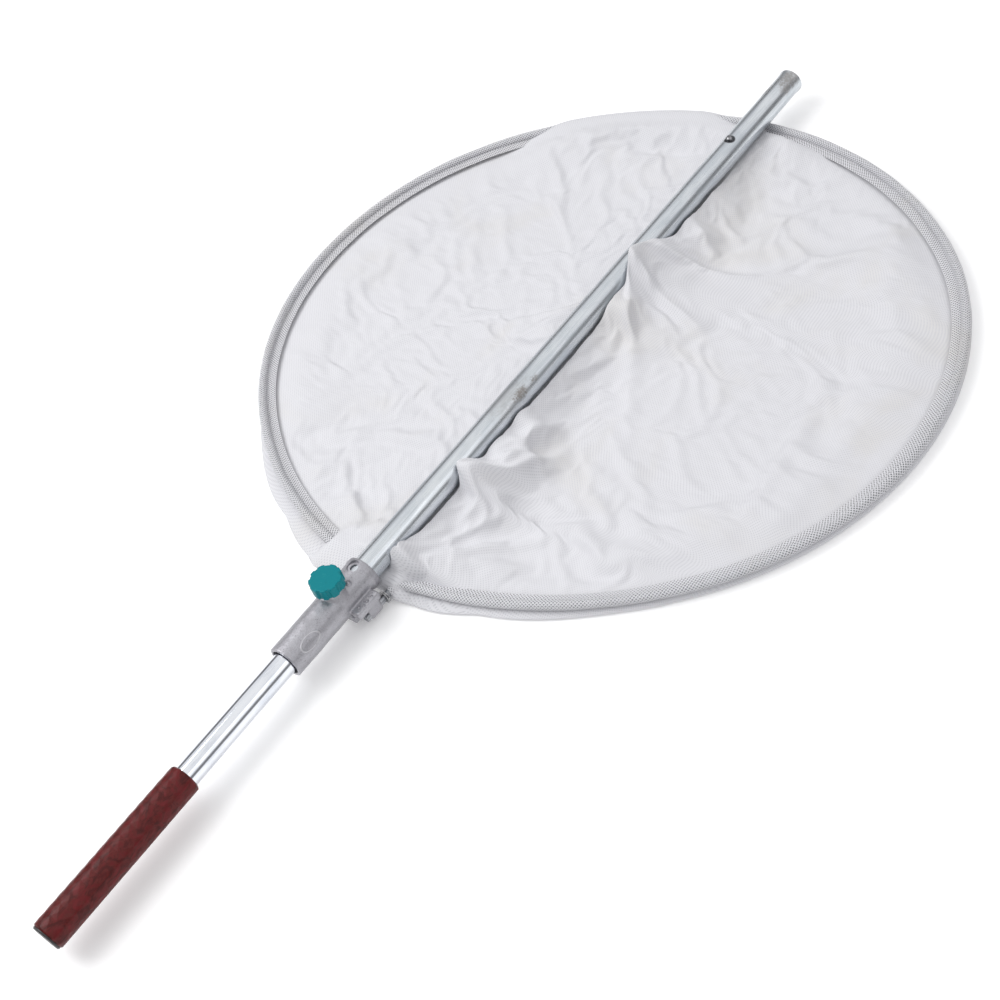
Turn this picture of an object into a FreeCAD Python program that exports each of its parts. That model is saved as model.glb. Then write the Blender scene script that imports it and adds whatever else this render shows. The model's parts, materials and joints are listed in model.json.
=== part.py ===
"""Hand net with a sliding head on a telescopic pole, in millimetres.

The pole lies along +X, grip end first, and the net lies flat underneath it.  Every
piece is drawn from the butt of the grip (x = 0) and from the pole's axis (y = z = 0).
Its Placement then moves it, so that the origin is on the floor under the middle.
"""
import FreeCAD
import Part
import Sketcher

import math
import os

Vector = FreeCAD.Vector

# Driving dimensions, all lengths in mm.  Each pair becomes one aliased sheet cell.
SIZES = {
    # placement of the whole object
    "half_length": 651.0,
    "axis_height": 35.0,
    # outer tube
    "tube_start": 345.0,
    "tube_length": 957.0,
    "tube_radius": 15.0,
    "tube_bore_radius": 13.8,
    "tube_lip_length": 10.0,
    "tube_lip_radius": 15.8,
    "tube_mouth_depth": 60.0,
    "tube_mouth_radius": 14.0,
    # reducing bush in the outer tube's lower end
    "bush_start": 346.0,
    "bush_length": 30.0,
    "bush_bore_radius": 13.06,
    # inner tube, grip and butt plug
    "inner_start": 2.0,
    "inner_length": 1056.0,
    "inner_radius": 13.0,
    "inner_bore_radius": 11.9,
    "grip_end": 186.0,
    "grip_radius": 16.7,
    "grip_chamfer": 1.6,
    "butt_flange": 2.0,
    "butt_radius": 15.2,
    "butt_plug_length": 14.0,
    # twist lock at the inner tube's far end
    "plug_start": 1040.0,
    "plug_length": 18.0,
    "spindle_start": 1044.0,
    "spindle_length": 64.0,
    "spindle_radius": 4.0,
    "spindle_hole_radius": 4.05,
    "expander_start": 1062.0,
    "expander_length": 24.0,
    "expander_radius": 13.5,
    "expander_slot": 2.0,
    "cone_start": 1087.0,
    "cone_length": 13.0,
    "cone_big_radius": 12.0,
    "cone_small_radius": 8.0,
    # snap button and its leaf spring
    "button_x": 1162.0,
    "button_radius": 3.95,
    "button_hole_radius": 4.0,
    "button_top": 19.0,
    "button_flange_bottom": 9.4,
    "button_flange_top": 10.4,
    "button_flange_radius": 5.4,
    "button_dome": 1.4,
    "leaf_width": 8.0,
    "leaf_thick": 0.8,
    "leaf_bottom": 13.1,
    "leaf_bend_x": 1203.0,
    "leaf_bend_depth": 5.0,
    # sliding head
    "sleeve_start": 330.5,
    "sleeve_length": 125.5,
    "sleeve_radius": 18.95,
    "sleeve_bore_radius": 15.4,
    "boss_x": 412.0,
    "boss_radius": 11.5,
    "boss_top": 24.6,
    "insert_radius": 6.5,
    "insert_hole_radius": 4.05,
    "insert_bottom": 17.0,
    "catch_x": 446.0,
    "catch_radius": 4.4,
    "lug_start": 409.0,
    "lug_length": 33.0,
    "lug_outer_y": 31.5,
    "lug_top": 1.0,
    "lug_bottom": 29.5,
    "lug_web": 21.0,
    "lug_gap_y": 15.0,
    # clamp screw, knob, washer and pressure pad
    "screw_radius": 4.0,
    "screw_bottom": 18.2,
    "screw_top": 35.0,
    "pad_bottom": 15.35,
    "pad_length": 2.8,
    "washer_radius": 9.0,
    "washer_hole_radius": 4.3,
    "washer_bottom": 25.2,
    "washer_thick": 1.2,
    "knob_radius": 17.5,
    "knob_length": 13.6,
    "knob_flute_radius": 3.4,
    "knob_flute_circle": 18.9,
    "knob_flutes": 9.0,
    "knob_edge": 1.5,
    # hoop: two semi-axes, and how its near side runs into the lugs
    "hoop_x": 858.0,
    "hoop_semi_x": 380.0,
    "hoop_semi_y": 409.0,
    "hoop_drop": 22.0,
    "hoop_apex_x": 469.0,
    "hoop_crown_radius": 300.0,
    "rod_radius": 4.0,
    "leg_y": 24.0,
    "leg_start": 418.0,
    "leg_bend": 16.0,
    "pin_x": 430.0,
    "pin_radius": 1.5,
    # net: the hem over the rod, the side band below it, and the flat bottom
    "hem_start": 445.5,
    "hem_radius": 5.5,
    "hem_bore_radius": 4.2,
    "band_outset": 5.0,
    "band_wall": 1.6,
    "band_bottom": 33.8,
    "band_top": 27.6,
    "panel_thick": 1.2,
    # wire ties round the hem's two ends
    "tie_x": 449.0,
    "tie_ring": 6.4,
    "tie_wire": 0.7,
}

doc = FreeCAD.newDocument("SlidingHeadNet")
sheet = doc.addObject("Spreadsheet::Sheet", "Sizes")
for row, (alias, value) in enumerate(SIZES.items(), start=1):
    cell = "B%d" % row
    sheet.set("A%d" % row, alias)
    sheet.set(cell, str(value))
    sheet.setAlias(cell, alias)
doc.recompute()


def size(alias):
    """Return one driving dimension as a plain number."""
    return float(sheet.get(alias))


def cell(formula):
    """Turn a formula of aliases into an expression that reads the sheet."""
    words = formula.replace("(", "( ").replace(")", " )").split()
    return " ".join("Sizes." + word if word in SIZES else word for word in words)


# ---------------------------------------------------------------- shared builders

nodes = []


def finish(feature, label, base_x="0", base_z="0"):
    """Name a finished piece, place it on the origin's axes and list it for export."""
    feature.Label = label
    feature.setExpression("Placement.Base.x", cell(base_x + " - half_length"))
    feature.setExpression("Placement.Base.z", cell(base_z + " + axis_height"))
    nodes.append(feature)
    return feature


def cylinder(start, length, radius, direction="X", centre=("0", "0", "0")):
    """Make a cylinder bound to the sheet, along +X from x = start or along +Z."""
    shape = doc.addObject("Part::Cylinder", "Cylinder")
    shape.setExpression("Radius", cell(radius))
    shape.setExpression("Height", cell(length))
    base = list(centre)
    if direction == "X":
        shape.Placement.Rotation = FreeCAD.Rotation(Vector(0, 1, 0), 90)
        base[0] = start
    else:
        base[2] = start
    for axis, formula in zip("xyz", base):
        shape.setExpression("Placement.Base." + axis, cell(formula))
    return shape


def cut(base, tool):
    """Subtract one object from another."""
    result = doc.addObject("Part::Cut", "Cut")
    result.Base = base
    result.Tool = tool
    return result


def tube(label, start, length, outer, inner):
    """Make a plain tube or ring along X."""
    wall = cylinder(start, length, outer)
    bore = cylinder(start, length, inner)
    return finish(cut(wall, bore), label)


def plane(body, role):
    """Find one of a body's own origin planes."""
    return next(item for item in body.Origin.OriginFeatures if item.Role == role)


def new_sketch(body, name, role, offset=("0", "0", "0")):
    """Attach a sketch to an origin plane, shifted in that plane's own axes."""
    sketch = body.newObject("Sketcher::SketchObject", name)
    sketch.AttachmentSupport = [(plane(body, role), "")]
    sketch.MapMode = "FlatFace"
    for axis, formula in zip("xyz", offset):
        sketch.setExpression(".AttachmentOffset.Base." + axis, cell(formula))
    return sketch


def add_circle(sketch, name, radius):
    """Draw a circle round the sketch's origin with its radius bound to the sheet."""
    index = sketch.addGeometry(Part.Circle(Vector(), Vector(0, 0, 1), 1.0), False)
    sketch.addConstraint(Sketcher.Constraint("Coincident", index, 3, -1, 1))
    number = sketch.addConstraint(Sketcher.Constraint("Radius", index, 1.0))
    sketch.renameConstraint(number, name)
    sketch.setExpression("Constraints." + name, cell(radius))


def circle_sketch(body, name, role, offset, radius):
    """Make a sketch that holds one circle."""
    sketch = new_sketch(body, name, role, offset)
    add_circle(sketch, "radius", radius)
    return sketch


def outline_sketch(body, name, role, points, offset=("0", "0", "0")):
    """Draw a closed polygon, each corner held by two formulas of the sheet."""
    sketch = new_sketch(body, name, role, offset)
    corners = [Vector(evaluate(x), evaluate(y), 0) for x, y in points]
    count = len(corners)
    for index in range(count):
        line = Part.LineSegment(corners[index], corners[(index + 1) % count])
        sketch.addGeometry(line, False)
    for index in range(count):
        sketch.addConstraint(Sketcher.Constraint("Coincident", index, 2, (index + 1) % count, 1))
    for index, (x, y) in enumerate(points):
        hold_corner(sketch, index, "DistanceX", "x%d" % index, x)
        hold_corner(sketch, index, "DistanceY", "y%d" % index, y)
    return sketch


def hold_corner(sketch, index, kind, name, formula):
    """Hold one coordinate of a polygon's corner at a formula of the sheet."""
    value = evaluate(formula)
    if abs(value) < 1e-9:
        axis = -2 if kind == "DistanceX" else -1
        sketch.addConstraint(Sketcher.Constraint("PointOnObject", index, 1, axis))
        return
    number = sketch.addConstraint(Sketcher.Constraint(kind, -1, 1, index, 1, value))
    sketch.renameConstraint(number, name)
    sketch.setExpression("Constraints." + name, cell(formula))


def evaluate(formula):
    """Work out a sum and difference formula of aliases and numbers."""
    total = 0.0
    sign = 1.0
    for word in formula.split():
        if word in "+-":
            sign = 1.0 if word == "+" else -1.0
            continue
        total += sign * (size(word) if word in SIZES else float(word))
        sign = 1.0
    return total


def pad(body, sketch, length, down=False, midplane=False):
    """Add material along the sketch's normal, or against it when down is set."""
    feature = body.newObject("PartDesign::Pad", "Pad")
    feature.Profile = sketch
    feature.setExpression("Length", cell(length))
    feature.Reversed = down
    feature.Midplane = midplane
    return feature


def pocket(body, sketch, length, along_normal=False):
    """Cut a pocket and make sure that it took material away."""
    doc.recompute()
    before = body.Shape.Volume
    feature = body.newObject("PartDesign::Pocket", "Pocket")
    feature.Profile = sketch
    feature.setExpression("Length", cell(length))
    feature.Reversed = along_normal
    doc.recompute()
    if body.Shape.Volume > before - 0.5:
        raise RuntimeError("a pocket cuts nothing in " + body.Name)
    return feature


def revolve(label, points):
    """Turn a closed outline of (x, radius) corners round the pole's axis."""
    body = doc.addObject("PartDesign::Body", "Body")
    outline = outline_sketch(body, "Outline", "XZ_Plane", points)
    feature = body.newObject("PartDesign::Revolution", "Revolution")
    feature.Profile = outline
    feature.ReferenceAxis = (outline, ["H_Axis"])
    feature.Angle = 360.0
    return finish(body, label)


def group(label, members):
    """Keep identical loose pieces together as one node of separate solids."""
    compound = doc.addObject("Part::Compound", "Compound")
    compound.Links = members
    return finish(compound, label)


# ------------------------------------------------------------------- hoop outline


class HoopPlan:
    """The hoop's centre line: tangent arcs, the same on both sides of the pole."""

    def __init__(self):
        """Work out the arc centres and radii from the driving dimensions."""
        semi_x = size("hoop_semi_x")
        semi_y = size("hoop_semi_y")
        shift = (semi_y - semi_x) / (2.0 - math.sqrt(2.0))
        self.far_centre = Vector(size("hoop_x") - shift, 0, 0)
        self.far_radius = semi_x + shift
        self.side_centre = Vector(size("hoop_x"), shift, 0)
        self.side_radius = semi_y - shift
        self.crown_radius = size("hoop_crown_radius")
        self.crown_centre = Vector(size("hoop_apex_x") + self.crown_radius, 0, 0)
        self.diagonal = Vector(-math.sqrt(0.5), math.sqrt(0.5), 0)
        self.flank_radius = self.find_flank_radius()
        near_corner = self.side_centre + self.diagonal * self.side_radius
        self.flank_centre = near_corner - self.diagonal * self.flank_radius

    def find_flank_radius(self):
        """Return the radius that joins the side arc to the crown, tangent to both."""
        corner = self.side_centre + self.diagonal * self.side_radius
        offset = corner - self.crown_centre
        top = offset.dot(offset) - self.crown_radius ** 2
        bottom = 2.0 * (offset.dot(self.diagonal) - self.crown_radius)
        return top / bottom

    def crown_direction(self):
        """Return the direction from the crown's centre to where the flank begins."""
        return (self.crown_centre - self.flank_centre).normalize()

    def half_arcs(self, outset):
        """List the flank, side and far arcs of the left half, moved out by outset."""
        flank_start = math.atan2(self.crown_direction().y, self.crown_direction().x)
        corner = math.radians(135.0)
        far_corner = math.radians(45.0)
        return [
            (self.flank_centre, self.flank_radius + outset, flank_start, corner),
            (self.side_centre, self.side_radius + outset, corner, far_corner),
            (self.far_centre, self.far_radius + outset, far_corner, 0.0),
        ]

    def loop(self, outset):
        """Return the closed outline as sketch arcs, moved outwards by outset."""
        left = self.half_arcs(outset)
        start = left[0][2]
        crown = (self.crown_centre, self.crown_radius + outset, math.pi, start)
        left.insert(0, crown)
        arcs = [arc_between(*piece) for piece in left]
        return arcs + [arc_between(*mirrored(piece)) for piece in reversed(left)]

    def legs(self, leg_start):
        """Return the rod's path: a leg, its bend, round the hoop and back again."""
        leg_y = size("leg_y")
        bend = size("leg_bend")
        rise = leg_y + bend - self.flank_centre.y
        reach = math.sqrt((self.flank_radius + bend) ** 2 - rise ** 2)
        bend_centre = Vector(self.flank_centre.x - reach, leg_y + bend, 0)
        toward = bend_centre - self.flank_centre
        flank_start = math.atan2(toward.y, toward.x)
        bend_end = flank_start + math.pi
        left = self.half_arcs(0.0)
        left[0] = (self.flank_centre, self.flank_radius, flank_start, left[0][3])
        left.insert(0, (bend_centre, bend, 1.5 * math.pi, bend_end))
        arcs = [arc_between(*piece) for piece in left]
        arcs += [arc_between(*mirrored(piece)) for piece in reversed(left)]
        near = Vector(bend_centre.x, leg_y, 0)
        far = Vector(leg_start, leg_y, 0)
        first = Part.LineSegment(far, near)
        last = Part.LineSegment(flip(near), flip(far))
        return [first] + arcs + [last]


def flip(point):
    """Mirror a point to the other side of the pole."""
    return Vector(point.x, -point.y, point.z)


def mirrored(piece):
    """Mirror an arc to the other side of the pole and run it the other way."""
    centre, radius, start, end = piece
    return flip(centre), radius, -end, -start


def arc_between(centre, radius, start, end):
    """Make an arc from one angle to another, by the shorter way round."""
    turn = (end - start + math.pi) % (2.0 * math.pi) - math.pi
    points = []
    for share in (0.0, 0.5, 1.0):
        angle = start + share * turn
        points.append(centre + Vector(math.cos(angle), math.sin(angle), 0) * radius)
    return Part.Arc(*points)


def swept_hoop(label, leg_start, radii):
    """Sweep one circle, or a ring of two circles, along the hoop's path."""
    body = doc.addObject("PartDesign::Body", "Body")
    path = new_sketch(body, "Path", "XY_Plane", ("0", "0", "- hoop_drop"))
    for item in plan.legs(size(leg_start)):
        path.addGeometry(item, False)
    profile = new_sketch(body, "Profile", "YZ_Plane", ("leg_y", "- hoop_drop", leg_start))
    for name, radius in radii.items():
        add_circle(profile, name, radius)
    doc.recompute()
    feature = body.newObject("PartDesign::AdditivePipe", "Pipe")
    feature.Profile = profile
    feature.Spine = (path, [])
    return finish(body, label)


def loop_sketch(body, height, outsets):
    """Draw one or two closed hoop outlines at a height over the pole's axis."""
    sketch = new_sketch(body, "Outline", "XY_Plane", ("0", "0", height))
    for outset in outsets:
        for arc in plan.loop(outset):
            sketch.addGeometry(arc, False)
    return sketch


plan = HoopPlan()

# ---------------------------------------------------------------- pole and button

outer_tube = revolve("outer_tube", [
    ("tube_start", "tube_bore_radius"),
    ("tube_start", "tube_radius"),
    ("tube_start + tube_length - tube_lip_length", "tube_radius"),
    ("tube_start + tube_length", "tube_lip_radius"),
    ("tube_start + tube_length", "tube_mouth_radius"),
    ("tube_start + tube_length - tube_mouth_depth", "tube_mouth_radius"),
    ("tube_start + tube_length - tube_mouth_depth", "tube_bore_radius"),
])
button_hole = circle_sketch(
    outer_tube, "ButtonHole", "XY_Plane", ("button_x", "0", "0"), "button_hole_radius")
pocket(outer_tube, button_hole, "button_top", along_normal=True)

tube("mouth_bush", "bush_start", "bush_length", "tube_bore_radius", "bush_bore_radius")

button = doc.addObject("PartDesign::Body", "Body")
button_outline = outline_sketch(button, "Outline", "XZ_Plane", [
    ("0", "button_flange_bottom"),
    ("button_flange_radius", "button_flange_bottom"),
    ("button_flange_radius", "button_flange_top"),
    ("button_radius", "button_flange_top"),
    ("button_radius", "button_top - button_dome"),
    ("button_radius - button_dome", "button_top"),
    ("0", "button_top"),
], ("button_x", "0", "0"))
button_turn = button.newObject("PartDesign::Revolution", "Revolution")
button_turn.Profile = button_outline
button_turn.ReferenceAxis = (button_outline, ["V_Axis"])
button_turn.Angle = 360.0
finish(button, "snap_button")

leaf = doc.addObject("PartDesign::Body", "Body")
leaf_near = "button_x - button_flange_radius"
leaf_far = "button_x + button_flange_radius"
arm_top = "button_flange_bottom - 0.1"
leaf_outline = outline_sketch(leaf, "Outline", "XZ_Plane", [
    (leaf_near, "- leaf_bottom"),
    ("leaf_bend_x", "- leaf_bottom"),
    ("leaf_bend_x + leaf_bend_depth", "- leaf_bottom + leaf_bend_depth"),
    ("leaf_bend_x", "- leaf_bottom + leaf_bend_depth + leaf_bend_depth"),
    (leaf_far, arm_top),
    (leaf_near, arm_top),
    (leaf_near, arm_top + " - leaf_thick"),
    (leaf_far, arm_top + " - leaf_thick"),
    ("leaf_bend_x - leaf_thick", "- leaf_bottom + leaf_bend_depth + leaf_bend_depth - leaf_thick"),
    ("leaf_bend_x + leaf_bend_depth - leaf_thick", "- leaf_bottom + leaf_bend_depth"),
    ("leaf_bend_x - leaf_thick", "- leaf_bottom + leaf_thick"),
    (leaf_near, "- leaf_bottom + leaf_thick"),
])
pad(leaf, leaf_outline, "leaf_width", midplane=True)
finish(leaf, "button_spring")

# ----------------------------------------------------- inner tube, grip and lock

tube("inner_tube", "inner_start", "inner_length", "inner_radius", "inner_bore_radius")

revolve("grip", [
    ("butt_flange", "inner_radius"),
    ("butt_flange", "grip_radius - grip_chamfer"),
    ("butt_flange + grip_chamfer", "grip_radius"),
    ("grip_end - grip_chamfer", "grip_radius"),
    ("grip_end", "grip_radius - grip_chamfer"),
    ("grip_end", "inner_radius"),
])

revolve("butt_plug", [
    ("0", "0"),
    ("0", "butt_radius - 1"),
    ("1", "butt_radius"),
    ("butt_flange", "butt_radius"),
    ("butt_flange", "inner_bore_radius"),
    ("butt_plug_length", "inner_bore_radius"),
    ("butt_plug_length", "0"),
])

tube("spindle_plug", "plug_start", "plug_length", "inner_bore_radius", "spindle_radius")

finish(cylinder("spindle_start", "spindle_length", "spindle_radius"), "lock_spindle",
       "spindle_start")

expander_wall = cylinder("expander_start", "expander_length", "expander_radius")
expander_bore = cylinder("expander_start", "expander_length", "spindle_hole_radius")
expander_slot = doc.addObject("Part::Box", "Slot")
expander_slot.setExpression("Length", cell("expander_length"))
expander_slot.setExpression("Width", cell("expander_slot"))
expander_slot.setExpression("Height", cell("expander_radius"))
expander_slot.setExpression("Placement.Base.x", cell("expander_start"))
expander_slot.setExpression("Placement.Base.y", cell("- expander_slot / 2"))
finish(cut(cut(expander_wall, expander_bore), expander_slot), "lock_expander")

cone = doc.addObject("Part::Cone", "Cone")
cone.Placement.Rotation = FreeCAD.Rotation(Vector(0, 1, 0), 90)
cone.setExpression("Radius1", cell("cone_small_radius"))
cone.setExpression("Radius2", cell("cone_big_radius"))
cone.setExpression("Height", cell("cone_length"))
cone.setExpression("Placement.Base.x", cell("cone_start"))
cone_bore = cylinder("cone_start", "cone_length", "spindle_hole_radius")
finish(cut(cone, cone_bore), "cone_nut")

# ------------------------------------------------------------------ sliding head

casting = doc.addObject("PartDesign::Body", "Body")
at_sleeve = ("0", "0", "sleeve_start")
pad(casting, circle_sketch(casting, "Sleeve", "YZ_Plane", at_sleeve, "sleeve_radius"),
    "sleeve_length")
pad(casting, circle_sketch(casting, "Boss", "XY_Plane", ("boss_x", "0", "0"), "boss_radius"),
    "boss_top")
yoke = outline_sketch(casting, "Yoke", "YZ_Plane", [
    ("- lug_outer_y", "- lug_bottom"),
    ("- lug_gap_y", "- lug_bottom"),
    ("- lug_gap_y", "- lug_web"),
    ("lug_gap_y", "- lug_web"),
    ("lug_gap_y", "- lug_bottom"),
    ("lug_outer_y", "- lug_bottom"),
    ("lug_outer_y", "- lug_top"),
    ("- lug_outer_y", "- lug_top"),
], ("0", "0", "lug_start"))
pad(casting, yoke, "lug_length")
pocket(casting, circle_sketch(casting, "Bore", "YZ_Plane", at_sleeve, "sleeve_bore_radius"),
       "sleeve_length", along_normal=True)
on_boss = ("boss_x", "0", "boss_top")
pocket(casting, circle_sketch(casting, "InsertSeat", "XY_Plane", on_boss, "insert_radius"),
       "boss_top - insert_bottom")
pocket(casting, circle_sketch(casting, "PadHole", "XY_Plane", on_boss, "insert_hole_radius"),
       "boss_top - sleeve_bore_radius + 1")
pocket(casting, circle_sketch(casting, "Catch", "XY_Plane", ("catch_x", "0", "0"),
                              "catch_radius"), "boss_top", along_normal=True)
for side, sign in (("Left", ""), ("Right", "- ")):
    at_leg = (sign + "leg_y", "- hoop_drop", "leg_start")
    socket = circle_sketch(casting, side + "Socket", "YZ_Plane", at_leg, "rod_radius")
    pocket(casting, socket, "lug_length", along_normal=True)
    at_pin = ("pin_x", sign + "leg_y", "- lug_bottom")
    pin_hole = circle_sketch(casting, side + "PinHole", "XY_Plane", at_pin, "pin_radius")
    pocket(casting, pin_hole, "lug_bottom - lug_top", along_normal=True)
finish(casting, "head_casting")

insert_wall = cylinder("insert_bottom", "boss_top - insert_bottom", "insert_radius",
                       "Z", ("boss_x", "0", "0"))
insert_bore = cylinder("insert_bottom", "boss_top - insert_bottom", "insert_hole_radius",
                       "Z", ("boss_x", "0", "0"))
finish(cut(insert_wall, insert_bore), "thread_insert")

# ------------------------------------------------- clamp screw, knob, washer, pad

finish(cylinder("pad_bottom", "pad_length", "screw_radius", "Z", ("boss_x", "0", "0")),
       "pressure_pad", "boss_x", "pad_bottom")
finish(cylinder("screw_bottom", "screw_top - screw_bottom", "screw_radius",
                "Z", ("boss_x", "0", "0")), "clamp_screw", "boss_x", "screw_bottom")
washer_wall = cylinder("washer_bottom", "washer_thick", "washer_radius",
                       "Z", ("boss_x", "0", "0"))
washer_bore = cylinder("washer_bottom", "washer_thick", "washer_hole_radius",
                       "Z", ("boss_x", "0", "0"))
finish(cut(washer_wall, washer_bore), "knob_washer")

knob = doc.addObject("PartDesign::Body", "Body")
knob_bottom = "washer_bottom + washer_thick"
knob_outline = outline_sketch(knob, "Outline", "XZ_Plane", [
    ("0", knob_bottom),
    ("knob_radius - knob_edge", knob_bottom),
    ("knob_radius", knob_bottom + " + knob_edge"),
    ("knob_radius", knob_bottom + " + knob_length - knob_edge"),
    ("knob_radius - knob_edge", knob_bottom + " + knob_length"),
    ("0", knob_bottom + " + knob_length"),
], ("boss_x", "0", "0"))
knob_turn = knob.newObject("PartDesign::Revolution", "Revolution")
knob_turn.Profile = knob_outline
knob_turn.ReferenceAxis = (knob_outline, ["V_Axis"])
knob_turn.Angle = 360.0
screw_hole = circle_sketch(knob, "ScrewHole", "XY_Plane", ("boss_x", "0", knob_bottom),
                           "screw_radius")
pocket(knob, screw_hole, "screw_top - washer_bottom - washer_thick", along_normal=True)
flute = circle_sketch(knob, "Flute", "XY_Plane",
                      ("boss_x + knob_flute_circle", "0", knob_bottom), "knob_flute_radius")
flute_cut = pocket(knob, flute, "knob_length", along_normal=True)
flutes = knob.newObject("PartDesign::PolarPattern", "Flutes")
flutes.Originals = [flute_cut]
flutes.Axis = (screw_hole, ["N_Axis"])
flutes.Angle = 360.0
flutes.setExpression("Occurrences", cell("knob_flutes"))
knob.Tip = flutes
finish(knob, "knob")

# ------------------------------------------------------------ hoop, pins and ties

hoop_rod = swept_hoop("hoop_rod", "leg_start", {"rod": "rod_radius"})
for side, sign in (("Left", ""), ("Right", "- ")):
    under_rod = ("pin_x", sign + "leg_y", "- hoop_drop - rod_radius")
    cross_hole = circle_sketch(hoop_rod, side + "Cross", "XY_Plane", under_rod, "pin_radius")
    pocket(hoop_rod, cross_hole, "rod_radius + rod_radius", along_normal=True)

group("hoop_lock_pins", [
    cylinder("- lug_bottom", "lug_bottom - lug_top", "pin_radius", "Z",
             ("pin_x", sign + "leg_y", "0"))
    for sign in ("", "- ")
])

ties = []
for sign in ("", "- "):
    ring = doc.addObject("Part::Torus", "Tie")
    ring.Placement.Rotation = FreeCAD.Rotation(Vector(0, 1, 0), 90)
    ring.setExpression("Radius1", cell("tie_ring"))
    ring.setExpression("Radius2", cell("tie_wire"))
    ring.setExpression("Placement.Base.x", cell("tie_x"))
    ring.setExpression("Placement.Base.y", cell(sign + "leg_y"))
    ring.setExpression("Placement.Base.z", cell("- hoop_drop"))
    ties.append(ring)
group("tie_wires", ties)

# --------------------------------------------------------------------------- net

swept_hoop("hem_sleeve", "hem_start", {"outside": "hem_radius", "inside": "hem_bore_radius"})

band = doc.addObject("PartDesign::Body", "Body")
outset = size("band_outset")
band_outline = loop_sketch(band, "- band_bottom", (outset, outset - size("band_wall")))
pad(band, band_outline, "band_bottom - band_top")
finish(band, "net_side_band")

panel = doc.addObject("PartDesign::Body", "Body")
pad(panel, loop_sketch(panel, "- axis_height", (outset,)), "panel_thick")
finish(panel, "net_floor_panel")

# ------------------------------------------------------------- checks and export

doc.recompute()
for feature in doc.Objects:
    if "Invalid" in feature.State or "Error" in feature.State:
        raise RuntimeError("failed feature: " + feature.Name)
for feature in nodes:
    if feature.Shape.isNull() or not feature.Shape.isValid():
        raise RuntimeError("bad shape: " + feature.Label)

rod_volume = math.pi * size("rod_radius") ** 2 * sum(
    item.length() for item in plan.legs(size("leg_start")))
print("hoop rod: volume over section times length %.4f" % (hoop_rod.Shape.Volume / rod_volume))

os.makedirs("parts", exist_ok=True)
for feature in nodes:
    feature.Shape.exportStep("parts/" + feature.Label + ".step")
    box = feature.Shape.BoundBox
    print("%-16s %9.0f mm3  x %.1f..%.1f  z %.1f..%.1f" % (
        feature.Label, feature.Shape.Volume, box.XMin, box.XMax, box.ZMin, box.ZMax))
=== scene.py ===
"""Hand net with a sliding head: the finished looks, drawn round its engineering frame.

The frame gives every size and place in metres.  The pole lies along +X with its grip
first, the hoop lies flat under it, and the origin is on the floor under the middle.
"""

import json
import logging
import math
from dataclasses import dataclass
from typing import Callable, Iterable, Sequence

import bpy
import numpy as np
from mathutils import Matrix, Vector, noise


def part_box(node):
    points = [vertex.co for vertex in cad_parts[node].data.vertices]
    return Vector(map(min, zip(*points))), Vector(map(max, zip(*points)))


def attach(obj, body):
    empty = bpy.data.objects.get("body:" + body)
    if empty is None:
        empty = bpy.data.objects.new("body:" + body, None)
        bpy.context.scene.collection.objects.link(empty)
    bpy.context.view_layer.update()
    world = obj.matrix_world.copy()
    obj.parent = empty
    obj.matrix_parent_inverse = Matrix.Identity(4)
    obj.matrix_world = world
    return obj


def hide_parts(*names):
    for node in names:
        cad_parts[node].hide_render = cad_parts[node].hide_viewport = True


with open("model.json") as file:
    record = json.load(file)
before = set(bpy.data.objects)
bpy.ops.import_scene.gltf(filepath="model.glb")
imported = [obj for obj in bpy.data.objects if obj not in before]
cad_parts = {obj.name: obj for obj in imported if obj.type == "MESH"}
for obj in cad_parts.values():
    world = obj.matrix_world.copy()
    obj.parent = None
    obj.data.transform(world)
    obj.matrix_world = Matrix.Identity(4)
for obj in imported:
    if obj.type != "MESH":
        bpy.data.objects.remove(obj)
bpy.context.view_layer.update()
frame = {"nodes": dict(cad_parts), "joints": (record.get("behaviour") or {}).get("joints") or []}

log = logging.getLogger("hand_net")
MM = 0.001
AXIS_TURNS = {"X": (0, math.pi / 2, 0), "Z": (0, 0, 0)}
Colour = tuple[float, float, float, float]


# ------------------------------------------------------------------ places on the frame


class Stations:
    """Places along the pole, read from the frame's own boxes."""

    def __init__(self) -> None:
        """Read the pole's axis, the butt and the clamp's middle."""
        tube_low, tube_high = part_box("outer_tube")
        self.butt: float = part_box("butt_plug")[0].x
        self.axis_height: float = (tube_low.z + tube_high.z) / 2
        screw_low, screw_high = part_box("clamp_screw")
        self.clamp_x: float = (screw_low.x + screw_high.x) / 2
        self.head_low, self.head_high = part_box("head_casting")
        hoop_low, self.hoop_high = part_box("hoop_rod")
        self.hoop_height: float = (hoop_low.z + self.hoop_high.z) / 2

    def at(self, along: float, left: float, up: float) -> Vector:
        """Turn millimetres from the butt and the pole's axis into a place.

        Args:
            along: distance from the butt towards the far end.
            left: distance to the left of the axis.
            up: height over the axis.

        Returns:
            The place in metres.
        """
        return Vector((self.butt + along * MM, left * MM, self.axis_height + up * MM))


stations = Stations()


# ------------------------------------------------------------------------ mesh helpers


def deselect() -> None:
    """Leave object mode clean, with nothing selected."""
    bpy.ops.object.select_all(action="DESELECT")


def pick(piece: bpy.types.Object) -> None:
    """Make one object the only selected and active one.

    Args:
        piece: the object to work on.
    """
    deselect()
    piece.select_set(True)
    bpy.context.view_layer.objects.active = piece


def settle(piece: bpy.types.Object) -> bpy.types.Object:
    """Move a piece's place, turn and scale into its mesh.

    Args:
        piece: the object to settle.

    Returns:
        The same object, now at the origin.
    """
    pick(piece)
    bpy.ops.object.transform_apply(location=True, rotation=True, scale=True)
    return piece


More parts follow.
